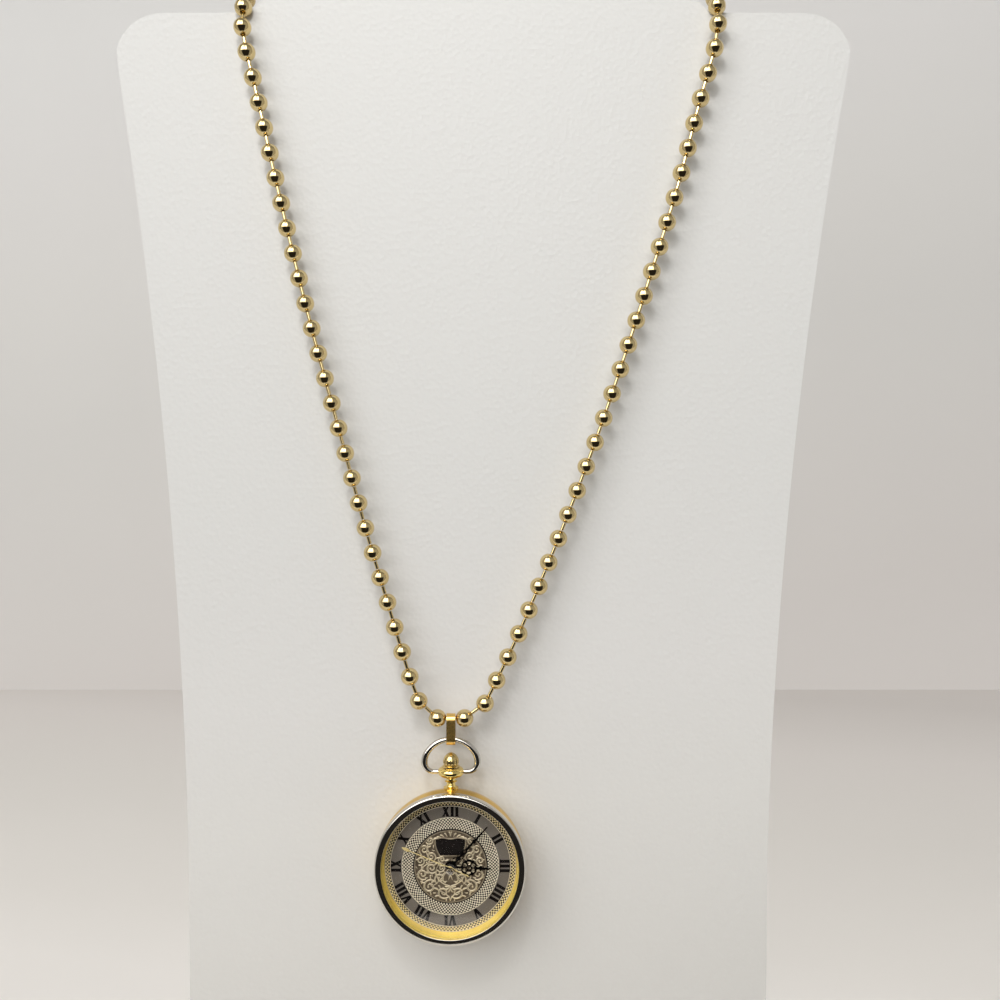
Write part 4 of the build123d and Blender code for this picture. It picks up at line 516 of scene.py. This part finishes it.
# Its crest is broad and softly rounded, its inner lip gilt
add_ring(
    "bezel_polished",
    ((3.2, 15.82), (3.2, 16.76), (4.35, 17.04), (4.62, 17.04), (4.92, 17.0), (5.18, 16.91), (5.38, 16.84),
     (5.5, 16.74), (5.575, 16.6), (5.6, 16.42), (5.605, 16.0), (5.6, 15.6), (5.59, 15.47), (5.56, 15.42),
     (5.5, 15.41), (4.82, 15.41), (4.82, 15.82)),
    silver, ("bezel",), 40,
)
add_ring(
    "bezel_liner", ((5.06, 15.42), (5.54, 15.42), (5.54, 15.38), (5.06, 15.38)), satin_gold
)


# ---------------------------------------------------------------- studs of the two chequered rings
STUD_GAP = 0.03
STUD_SLOPE = 0.13

# How deep studs and numerals are let into the dial
SINK = 0.01


def add_studs(name, inner, row_depth, rows, columns, ground, height, material):
    """Rows of small bevelled studs set like the squares of a chequer board, round the dial."""
    form = bmesh.new()
    step = 360 / columns
    levels = ((1 - STUD_GAP, ground - SINK), (1 - STUD_SLOPE, ground + height))
    for row in range(rows):
        near, far = inner + row * row_depth, inner + (row + 1) * row_depth
        mid = (near + far) / 2
        for column in range(row % 2, columns, 2):
            rear, front = [], []
            for radius, side in ((near, -0.5), (near, 0.5), (far, 0.5), (far, -0.5)):
                for (share, level), corners in zip(levels, (rear, front)):
                    point = clock(mid + (radius - mid) * share, (column + 0.5 + side * share) * step)
                    corners.append(form.verts.new(spot(*point, level)))
            form.faces.new(front)
            add_sides(form, rear, front)
    add_piece(name, mesh_from(form, outwards=False), material, "case")


add_studs("dial_studs", 8.44, 0.367, 7, 172, DIAL_HEIGHT, 0.07, stud_metal)
add_studs("minute_track_studs", 13.72, 0.33, 3, 236, TRACK_HEIGHT, 0.06, stud_gold)


# ---------------------------------------------------------------- Roman numerals
NUMERALS = ("XII", "I", "II", "III", "IIII", "V", "VI", "VII", "VIII", "IX", "X", "XI")
NUMERAL_FOOT = 11.14
NUMERAL_HEIGHT = 2.34
NUMERAL_RISE = 0.05
THICK = 0.56
THIN = 0.35
WIDEN = 1.17
SERIF = 0.17


def bar(low, high, width):
    """A stroke from a place on the foot line to a place on the head line."""
    ends = (
        (low - width / 2, 0), (low + width / 2, 0),
        (high + width / 2, NUMERAL_HEIGHT), (high - width / 2, NUMERAL_HEIGHT),
    )
    return [(WIDEN * across, up) for across, up in ends]


def serif(middle, width, at):
    """A flat bar across the end of a stroke."""
    low, high = WIDEN * (middle - width / 2), WIDEN * (middle + width / 2)
    return [(low, at), (high, at), (high, at + SERIF), (low, at + SERIF)]


HEAD = NUMERAL_HEIGHT - SERIF
# Each letter's strokes as polygons, foot at 0, and how wide the letter is
LETTERS = {
    "I": ([bar(0.45, 0.45, THICK), serif(0.45, 0.84, 0), serif(0.45, 0.84, HEAD)], 0.9 * WIDEN),
    "V": (
        [bar(0.9, 0.38, THICK), bar(0.98, 1.42, THIN), serif(0.38, 0.78, HEAD), serif(1.4, 0.6, HEAD)],
        1.66 * WIDEN,
    ),
    "X": (
        [bar(1.22, 0.36, THICK), bar(0.3, 1.26, THIN), serif(0.34, 0.62, 0), serif(1.24, 0.74, 0),
         serif(0.36, 0.74, HEAD), serif(1.26, 0.6, HEAD)],
        1.58 * WIDEN,
    ),
}

form = bmesh.new()
for hour, numeral in enumerate(NUMERALS):
    start = -sum(LETTERS[kind][1] for kind in numeral) / 2
    out = Vector(clock(1, 30 * hour))
    right = Vector((out.y, -out.x))
    for kind in numeral:
        strokes, width = LETTERS[kind]
        for stroke in strokes:
            outline = [tuple(right * (start + a) + out * (NUMERAL_FOOT + u)) for a, u in stroke]
            add_slab(form, outline, TRACK_HEIGHT - SINK, TRACK_HEIGHT + NUMERAL_RISE)
        start += width
add_piece("roman_numerals", mesh_from(form), enamel, "case")


# ---------------------------------------------------------------- hands
# Angles at which the hands stand, clockwise from twelve
HOUR_ANGLE = 93.1
MINUTE_ANGLE = 42.4
SECONDS_ANGLE = 293.2

# Points to each eased length, each hole and each round root of an outline
EASE_STEPS = 6
OVAL_STEPS = 24
BOSS_STEPS = 14


def smooth_side(shape):
    """One side of a hand from (along, half width) points, eased from each to the next."""
    side = []
    for (start, first), (end, second) in zip(shape, shape[1:]):
        for k in range(EASE_STEPS):
            share = k / EASE_STEPS
            half = first + (second - first) * (1 - math.cos(math.pi * share)) / 2
            side.append((start + (end - start) * share, half))
    return side + [shape[-1]]


def oval(along, across, length, width):
    """Outline of a hole in a hand."""
    return [
        (along + length / 2 * math.cos(turn), across + width / 2 * math.sin(turn))
        for turn in even_turns(OVAL_STEPS)
    ]


def boss(radius, end):
    """The round root of a hand, from its back to where its side leaves it."""
    last = math.acos(end / radius)
    turns = [math.pi - (math.pi - last) * k / BOSS_STEPS for k in range(BOSS_STEPS + 1)]
    return [(radius * math.cos(turn), radius * math.sin(turn)) for turn in turns]


def add_hand(name, node, body, angle, heights, side, holes, material):
    """A pierced flat hand, given along and across its own line, laid at its angle on the dial."""
    out = Vector(clock(1, angle))
    right = Vector((out.y, -out.x))
    outlines = [side + [(along, -half) for along, half in reversed(side)]] + holes
    placed = [[tuple(out * along + right * across) for along, across in outline] for outline in outlines]
    add_piece(name, plate_mesh(placed, *heights), material, body, (node,), 40)


# Distance of the hour hand's rosette from the middle, and of the rosette's petals from its own
ROSETTE = 4.19
PETAL_RING = 1.09


def rosette_reach(degrees):
    """Radius of the rosette: six lobes, with a point between each two but not where the stem runs."""
    lobe = 0.3 * abs(math.cos(3 * (math.radians(degrees) - math.pi / 6))) ** 0.6
    from_valley = (degrees + 30) % 60 - 30
    point = 0.42 * math.exp(-(from_valley / 4.5) ** 2) if 12 < degrees < 168 else 0.0
    return 1.55 + lobe + point


hour_side = boss(1.25, 1.2) + [(2.0, 0.2)]
for degrees in range(172, 6, -2):
    across, along = clock(rosette_reach(degrees), degrees)
    hour_side.append((ROSETTE + along, across))
hour_side += smooth_side([
    (5.9, 0.24), (6.45, 0.3), (6.85, 0.6), (7.25, 0.24), (8.0, 0.22), (8.8, 0.15), (9.1, 0.08),
])
hour_holes = [oval(0, 0, 1.6, 1.6), oval(ROSETTE, 0, 0.8, 0.8)]
for degrees in range(30, 360, 60):
    across, along = clock(PETAL_RING, degrees)
    hour_holes.append(oval(ROSETTE + along, across, 0.9, 0.9))
add_hand("hour_hand_pierced", "hour_hand", "hour_wheel", HOUR_ANGLE, HOUR_HAND_HEIGHTS,
         hour_side, hour_holes, black)

minute_side = boss(1.0, 0.85) + smooth_side([
    (1.2, 0.5), (1.95, 0.98), (2.75, 0.48), (3.5, 0.8), (4.3, 0.4), (4.85, 0.55), (5.4, 0.24), (7.3, 0.22),
    (7.9, 0.46), (8.45, 0.2), (12.0, 0.14), (12.4, 0.08),
])
minute_holes = [oval(0, 0, 1.0, 1.0), oval(4.85, 0, 0.7, 0.5)]
minute_holes += [oval(1.95, 0.46 * side, 1.0, 0.46) for side in (1, -1)]
minute_holes += [oval(3.5, 0.38 * side, 0.9, 0.36) for side in (1, -1)]
add_hand("minute_hand_pierced", "minute_hand", "centre_wheel", MINUTE_ANGLE,
         MINUTE_HAND_HEIGHTS, minute_side, minute_holes, black)

seconds_side = smooth_side([
    (-4.6, 0.03), (-4.1, 0.14), (-3.4, 0.07), (-0.5, 0.08), (-0.2, 0.25), (0, 0.27), (0.2, 0.25), (0.5, 0.08),
    (9.7, 0.08), (10.4, 0.34), (11.1, 0.32), (11.8, 0.08),
])
arbor_hole = oval(0, 0, 0.3, 0.3)
add_hand("seconds_hand_leaf", "seconds_hand", "fourth_wheel", SECONDS_ANGLE,
         SECONDS_HAND_HEIGHTS, seconds_side, [arbor_hole], pale_gold)
hub = plate_mesh([oval(0, 0, 1.0, 1.0), arbor_hole], *SECONDS_HUB_HEIGHTS)
add_piece("seconds_hub", hub, black, "fourth_wheel", smooth=40)


# ---------------------------------------------------------------- medallion scrollwork
# In millimetres apart from shares, counts and the angle; the ridges rise by RELIEF at most
GRID = 0.055
FIELD_RADIUS = 7.98
FIELD_EDGE = 7.9
FIELD_SLOPE = 0.12
GRAIN_PITCH = 21
PLAQUE_GROUND = 0.34
RIM_HEIGHT = 0.5
RIM_WIDTH = 0.13
HUB_OPENING = 1.0
RELIEF = 0.13
BASE_LIFT = 0.008
PATTERN_SCALE = 1.035
STEM_STEPS = 70
LEAF_STEPS = 24
SCROLL_STEPS = 120
LEAFLETS = 900
LEAFLET_FIELD = 7.35
LEAFLET_SPACING = 5
GOLDEN_ANGLE = 137.5


def swelling(share):
    """Taper of a leaf, from its stem to its round end."""
    return 0.45 + 0.55 * share ** 0.7


def thinning(share):
    """Taper of a stem, from its root to its tip."""
    return 1 - 0.4 * share


def stroke_path(start, heading, length, bends, width, taper, steps=STEM_STEPS):
    """Points and half widths along a curve; heading in degrees, bends at start and end in degrees per mm."""
    a, u = start
    angle = math.radians(heading)
    points = []
    for k in range(steps + 1):
        share = k / steps
        points.append((a, u, max(0.02, width * taper(share))))
        angle += math.radians(bends[0] + (bends[1] - bends[0]) * share ** 1.6) * length / steps
        a += math.cos(angle) * length / steps
        u += math.sin(angle) * length / steps
    return points


def leaf(start, heading, length, bend, width):
    """One acanthus lobe: a curved stroke that swells to a round end."""
    return stroke_path(start, heading, length, (bend * 0.4, bend * 1.8), width, swelling, LEAF_STEPS)


def scroll(middle, size, start, turns, width, leaves):
    """A spiral that winds into a round eye, with leaflets on its back; turns below 0 wind clockwise."""
    path, angles = [], []
    for k in range(SCROLL_STEPS + 1):
        share = k / SCROLL_STEPS
        angle = math.radians(start + 360 * turns * share)
        reach = size * (1 - 0.78 * share ** 0.8)
        half = width * (0.6 + 0.55 * math.sin(math.pi * min(1, 0.1 + share)))
        path.append((middle[0] + reach * math.cos(angle), middle[1] + reach * math.sin(angle), half))
        angles.append(angle)
    end = (*path[-1][:2], width * 1.2)
    strokes = [path, [end]]
    bend = 55 if turns > 0 else -55
    for k in range(leaves):
        place = int(6 + 60 * k / max(1, leaves - 1))
        heading = math.degrees(angles[place]) + 0.9 * bend
        strokes.append(leaf(path[place][:2], heading, 0.42 * size + 0.3, -1.1 * bend, width))
    return strokes


def half_pattern():
    """The scrollwork of the medallion's right half, as strokes of (across, up, half width)."""
    strokes = []
    for middle, size, start, turns, leaves in (
        ((1.5, -5.7), 1.45, 215, 1.35, 4), ((4.5, -4.4), 1.6, 130, -1.4, 5), ((2.3, -2.7), 1.25, 300, 1.3, 4),
        ((6.05, -1.7), 1.3, 240, 1.35, 4), ((4.1, -0.4), 1.3, 200, 1.4, 4), ((6.5, 1.2), 1.05, 290, -1.3, 4),
        ((1.9, -0.4), 0.95, 330, -1.3, 3), ((4.2, 2.1), 1.1, 230, -1.4, 3), ((1.9, 1.5), 0.85, 260, 1.4, 3),
        ((5.7, 3.6), 1.2, 300, 1.4, 4), ((4.5, 5.6), 0.9, 330, -1.4, 3),
    ):
        strokes += scroll(middle, size, start, turns, 0.13 + 0.05 * size, leaves)
    for start, heading, length, bends, width in (
        ((0.0, -7.3), 70, 6.0, (-22, 34), 0.18), ((0.3, -4.2), 10, 6.0, (14, 30), 0.17),
        ((0.2, -1.4), -20, 5.0, (-16, 30), 0.16), ((7.2, -2.6), 100, 7.0, (12, 20), 0.17),
    ):
        strokes.append(stroke_path(start, heading, length, bends, width, thinning))
    for heading, length in ((-90, 1.3), (-55, 1.3), (-20, 1.1)):
        strokes.append(leaf((0.0, -4.3), heading, length, 40, 0.2))
    for k, heading in enumerate((92, 70, 48, 26, 8)):
        strokes.append(leaf((0.05 + 0.66 * k, 6.6 - 0.12 * k), heading, 0.85, -50, 0.19))
    return strokes


def in_shield(a, u):
    """How far inside the bare plaque's frame a point is, in millimetres; below 0 is outside."""
    top = 6.3 - 0.12 * np.cos(a * 1.8)
    half = 3.45 - 0.11 * np.clip(5.5 - u, 0, 9) ** 2
    return np.minimum(np.minimum(top - u, u - 2.35), (half - np.abs(a)) * 0.85)


count = int(2 * FIELD_RADIUS / GRID) + 1
line = np.linspace(-FIELD_RADIUS, FIELD_RADIUS, count)
grid_a, grid_u = np.meshgrid(line, line, indexing="ij")
ridges = np.zeros_like(grid_a)


def draw(stroke):
    """Raises a stroke out of the ground as a rounded ridge, with its mirror image."""
    for a, u, width in stroke:
        a, u = PATTERN_SCALE * a, PATTERN_SCALE * u
        low_u, high_u = np.searchsorted(line, u - width), np.searchsorted(line, u + width)
        for mirrored in (a, -a):
            low_a, high_a = np.searchsorted(line, mirrored - width), np.searchsorted(line, mirrored + width)
            block = (slice(low_a, high_a), slice(low_u, high_u))
            apart = ((grid_a[block] - mirrored) ** 2 + (grid_u[block] - u) ** 2) / width ** 2
            dome = np.sqrt(np.clip(1 - apart, 0, 1)) * min(1.0, 0.5 + width * 2.4)
            ridges[block] = np.maximum(ridges[block], dome)


for stroke in half_pattern():
    draw(stroke)
# Small leaflets on a sunflower spiral, where clear of the mirror line, the plaque and all other strokes
for k in range(1, LEAFLETS):
    a, u = clock(LEAFLET_FIELD * math.sqrt(k / LEAFLETS), GOLDEN_ANGLE * k)
    i, j = np.searchsorted(line, a), np.searchsorted(line, u)
    around = ridges[
        i - LEAFLET_SPACING:i + LEAFLET_SPACING + 1, j - LEAFLET_SPACING:j + LEAFLET_SPACING + 1
    ]
    if a > 0.15 and in_shield(a, u) < -0.3 and around.max() == 0:
        draw(leaf((a - 0.1, u - 0.1), 40 + 70 * math.sin(k), 0.55, 90, 0.14))

# The open ground is finely grained, the field sinks at its edge, and a rim frames the plaque
reach = np.hypot(grid_a, grid_u)
grained = 0.06 + 0.05 * np.sin(grid_a * GRAIN_PITCH) * np.sin(grid_u * GRAIN_PITCH)
field = np.where(ridges > 0, ridges, grained)
field *= np.clip((FIELD_EDGE - reach) / FIELD_SLOPE, 0, 1)
depth = in_shield(grid_a, grid_u)
field = np.where(depth > 0.1, PLAQUE_GROUND, field)
field = np.maximum(field, RIM_HEIGHT * np.exp(-(depth / RIM_WIDTH) ** 2))

form = bmesh.new()
verts = {}
for i in range(count):
    for j in range(count):
        if HUB_OPENING < reach[i, j] < FIELD_RADIUS:
            level = MEDALLION_HEIGHT + BASE_LIFT + RELIEF * field[i, j]
            verts[i, j] = form.verts.new(spot(line[i], line[j], level))
for i in range(count - 1):
    for j in range(count - 1):
        corners = [verts.get(key) for key in ((i, j), (i + 1, j), (i + 1, j + 1), (i, j + 1))]
        if all(corners):
            form.faces.new(corners)
mesh = mesh_from(form, outwards=False)
if mesh.polygons[0].normal.y > 0:
    mesh.flip_normals()
add_piece("medallion_scrolls", mesh, relief, "case", smooth=60)

# Bare dark plaque let into the scrollwork: its top edge from left to right, then its sides
PLAQUE_HALF_WIDTH = 3.3
PLAQUE_RISE = 0.075
TOP_STEPS = 24
SIDE_STEPS = 12
top_edge = []
for k in range(TOP_STEPS + 1):
    a = -PLAQUE_HALF_WIDTH + 2 * PLAQUE_HALF_WIDTH * k / TOP_STEPS
    top_edge.append((a, 6.18 - 0.12 * math.cos(a * 1.8)))
right_edge = []
for k in range(SIDE_STEPS + 1):
    u = 6.0 - 3.5 * k / SIDE_STEPS
    right_edge.append((3.32 - 0.11 * max(0, 5.5 - u) ** 2, u))
left_edge = [(-a, u) for a, u in reversed(right_edge)]
form = bmesh.new()
add_slab(form, top_edge + right_edge + left_edge, MEDALLION_HEIGHT, MEDALLION_HEIGHT + PLAQUE_RISE, 0.01)
add_piece("bare_plaque", mesh_from(form), plaque_metal, "case")


# ---------------------------------------------------------------- stage
def pale(name, stops, direction, rough, bump, scale):
    """Pale ground with a fine leather-like grain and painted shade, a tone that changes along a direction; clear
    from behind.
    """
    material, tree, shader = new_material(name)
    place = tree.place()
    along = tree.add("VectorMath", place, direction, operation="DOT_PRODUCT").outputs["Value"]
    low, high = stops[0][0], stops[-1][0]
    painted_shade_slope = tree.spread(along, From_Min=low, From_Max=high)
    clouds = tree.noise(place, Scale=6.0, Detail=2.0)
    tones = [((position - low) / (high - low), colour(*tone)) for position, tone in stops]
    grain = tree.add("TexVoronoi", Vector=place, Scale=scale)
    tree.put(
        shader,
        Base_Color=tree.ramp(tree.calc("MULTIPLY_ADD", clouds, 0.1, painted_shade_slope), tones),
        Roughness=rough,
        Specular_IOR_Level=0.3,
        Normal=tree.bump(grain.outputs["Distance"], bump, 0.0003),
    )
    behind = tree.add("NewGeometry").outputs["Backfacing"]
    through = tree.add("BsdfTransparent").outputs["BSDF"]
    tree.choose("Material Output", behind, shader.outputs["BSDF"], through)
    return material


def stage_piece(name, points, faces, material):
    """Backdrop that isn't part of the watch."""
    mesh = bpy.data.meshes.new(name)
    mesh.from_pydata(points, [], faces)
    mesh.materials.append(material)
    shade(mesh, None)
    new_object(name, mesh)


# Places and sizes of the backdrop in metres; PANEL_TOP is counted up from the watch's middle
FLOOR = centre.z - 0.052
FLOOR_FRONT = -0.17
ROOM_HALF_WIDTH = 2
WALL_DISTANCE = 0.36
WALL_TOP = 1.5
PANEL_TOP = 0.196
PANEL_CORNER = 0.011
PANEL_FOOT = centre.y + 0.0056
PANEL_LEAN = 0.0017
PANEL_ROWS = 40
CORNER_ROWS = 8
NECK_MIDDLE = 0.0001
NECK_FRONT = centre.y + 0.0039
# Painted shade: the bust darkens toward its foot and its right side, the floor toward the back and the right, the
# wall toward the bottom and the right
panel_shade_tones = (
    (-0.04, (188, 186, 182)), (0, (207, 205, 201)), (0.022, (215, 213, 209)), (0.05, (219, 217, 214)),
    (0.1, (218, 217, 214)), (0.15, (219, 218, 215)), (0.2, (220, 219, 216)),
)
floor_shade_tones = (
    (-0.07, (234, 230, 226)), (0, (224, 220, 215)), (0.12, (216, 212, 207)), (0.25, (213, 208, 204)),
    (0.4, (200, 195, 191)),
)
wall_shade_tones = (
    (-0.2, (230, 229, 227)), (-0.1, (224, 222, 220)), (0, (216, 214, 211)), (0.1, (207, 205, 202)),
    (0.2, (203, 200, 197)), (0.3, (199, 195, 192)),
)
panel_shade_stops = [(centre.z + up, tone) for up, tone in panel_shade_tones]
panel_white = pale("panel_white", panel_shade_stops, (-0.1, 0, 1), 0.6, 0.25, 900.0)
floor_pale = pale("floor_pale", floor_shade_tones, (0.25, 1, 0), 0.7, 0.05, 300.0)
wall_pale = pale("wall_pale", wall_shade_tones, (0.15, 0, -1), 0.8, 0.02, 300.0)


def panel_sides(up):
    """Left and right ends of the bust's front at a height above the watch; its corners are rounded."""
    share = min(1, max(0, (0.188 - up) / 0.22))
    corner = max(0, up - PANEL_TOP + PANEL_CORNER) / PANEL_CORNER
    inset = PANEL_CORNER * (1 - math.sqrt(max(0, 1 - corner ** 2)))
    return -0.0678 - 0.017 * (1 - share) ** 2 + inset, 0.0671 + 0.0196 * (1 - share) ** 2 - inset


# The bust behind the watch: its front ends in a ledge, from which a narrower neck rises out of the frame
rows = [FLOOR - centre.z] + [PANEL_TOP * k / PANEL_ROWS for k in range(PANEL_ROWS - 2)]
for k in range(1, CORNER_ROWS + 1):
    rows.append(PANEL_TOP - PANEL_CORNER * (1 - math.sin(math.pi / 2 * k / CORNER_ROWS)))
points = []
for up in rows:
    for x in panel_sides(up):
        points.append((x, PANEL_FOOT - PANEL_LEAN * up / PANEL_TOP, centre.z + up))
for up, half in (
    (0.0001, 0.0555), (0.0006, 0.0535), (0.0015, 0.0519), (0.003, 0.0506), (0.006, 0.0494),
    (0.01, 0.0485), (0.02, 0.048), (0.06, 0.048), (0.22, 0.048),
):
    for x in (NECK_MIDDLE - half, NECK_MIDDLE + half):
        points.append((x, NECK_FRONT, centre.z + PANEL_TOP + up))
faces = [(2 * k, 2 * k + 1, 2 * k + 3, 2 * k + 2) for k in range(len(points) // 2 - 1)]
stage_piece("bust", points, faces, panel_white)

for name, near, far, material in (
    ("floor", (FLOOR_FRONT, FLOOR), (WALL_DISTANCE, FLOOR), floor_pale),
    ("wall", (WALL_DISTANCE, FLOOR), (WALL_DISTANCE, WALL_TOP), wall_pale),
):
    corners = [
        (-ROOM_HALF_WIDTH, *near), (ROOM_HALF_WIDTH, *near), (ROOM_HALF_WIDTH, *far), (-ROOM_HALF_WIDTH, *far)
    ]
    stage_piece(name, corners, [(0, 1, 2, 3)], material)


# ---------------------------------------------------------------- camera and lamps
camera = bpy.data.cameras.new("camera")
camera.sensor_width = 36
camera.lens = 34.56
eye = new_object("camera", camera)
eye.location = centre + Vector((0.0112, -0.2194, 0.0827))
eye.rotation_euler = (math.pi / 2, 0, 0)
bpy.context.scene.camera = eye

LAMP_AIM = centre + Vector((0, 0, 0.1))


def add_lamp(name, toward, distance, size, watts):
    """A round lamp that stands off its aim in a direction and shines back at it."""
    light = bpy.data.lights.new(name, "AREA")
    light.shape = "DISK"
    light.size = size
    light.energy = watts
    light.color = (1.0, 0.992, 0.98)
    holder = new_object(name, light)
    holder.location = LAMP_AIM + Vector(toward).normalized() * distance
    holder.rotation_euler = (-Vector(toward)).to_track_quat("-Z", "Y").to_euler()


add_lamp("lamp_near", (-0.07, -0.62, 0.52), 0.34, 0.07, 0.27)
add_lamp("lamp_left", (-0.46, -0.62, 0.64), 0.6, 0.3, 0.35)


# ---------------------------------------------------------------- the room, as the metals mirror it
world = bpy.data.worlds.new("room")
bpy.context.scene.world = world
sky = Shading(world)
ray = sky.add("SeparateXYZ", sky.add("TexCoord").outputs["Generated"])
forward = sky.calc("MULTIPLY", ray.outputs["Y"], -1.0)
sideways = sky.calc("ARCTAN2", ray.outputs["X"], forward)
upward = sky.calc("ARCSINE", ray.outputs["Z"])


def within(angle, low, high, soft):
    """1 for an angle between two limits in degrees, passing softly to 0 outside them."""
    shifted = sky.calc("SUBTRACT", angle, math.radians((low + high) / 2))
    half = (high - low) / 2
    return sky.spread(
        sky.calc("ABSOLUTE", shifted), interpolation_type="SMOOTHSTEP",
        From_Min=math.radians(half), From_Max=math.radians(half + soft), To_Min=1.0, To_Max=0.0,
    )


# Pale walls with patches laid over them: a dimmer ceiling, the dark shape of the viewer, a bright window
# above on the left and its post; each as (azimuths, elevations, softness in degrees, tone)
room = (0.45, 0.445, 0.435, 1)
for sides, heights, soft, tone in (
    ((-180, 180), (52, 90), 20, (0.30, 0.30, 0.29, 1)),
    ((-46, 50), (-62, 6), 5, (0.022, 0.02, 0.018, 1)),
    ((-58, 14), (11, 58), 5, (2.9, 2.89, 2.85, 1)),
    ((-30, -17), (40, 64), 4, (0.7, 0.69, 0.67, 1)),
):
    both = sky.calc("MULTIPLY", within(sideways, *sides, soft), within(upward, *heights, soft))
    room = sky.mix(both, room, tone)
mirrored_room = sky.nodes["Background"]
sky.put(mirrored_room, Color=room)
plain = sky.add("Background", Color=colour(214, 211, 206))
seen_directly = sky.add("LightPath").outputs["Is Camera Ray"]
sky.choose("World Output", seen_directly, mirrored_room.outputs["Background"], plain.outputs["Background"])

bpy.context.scene.view_settings.view_transform = "Standard"
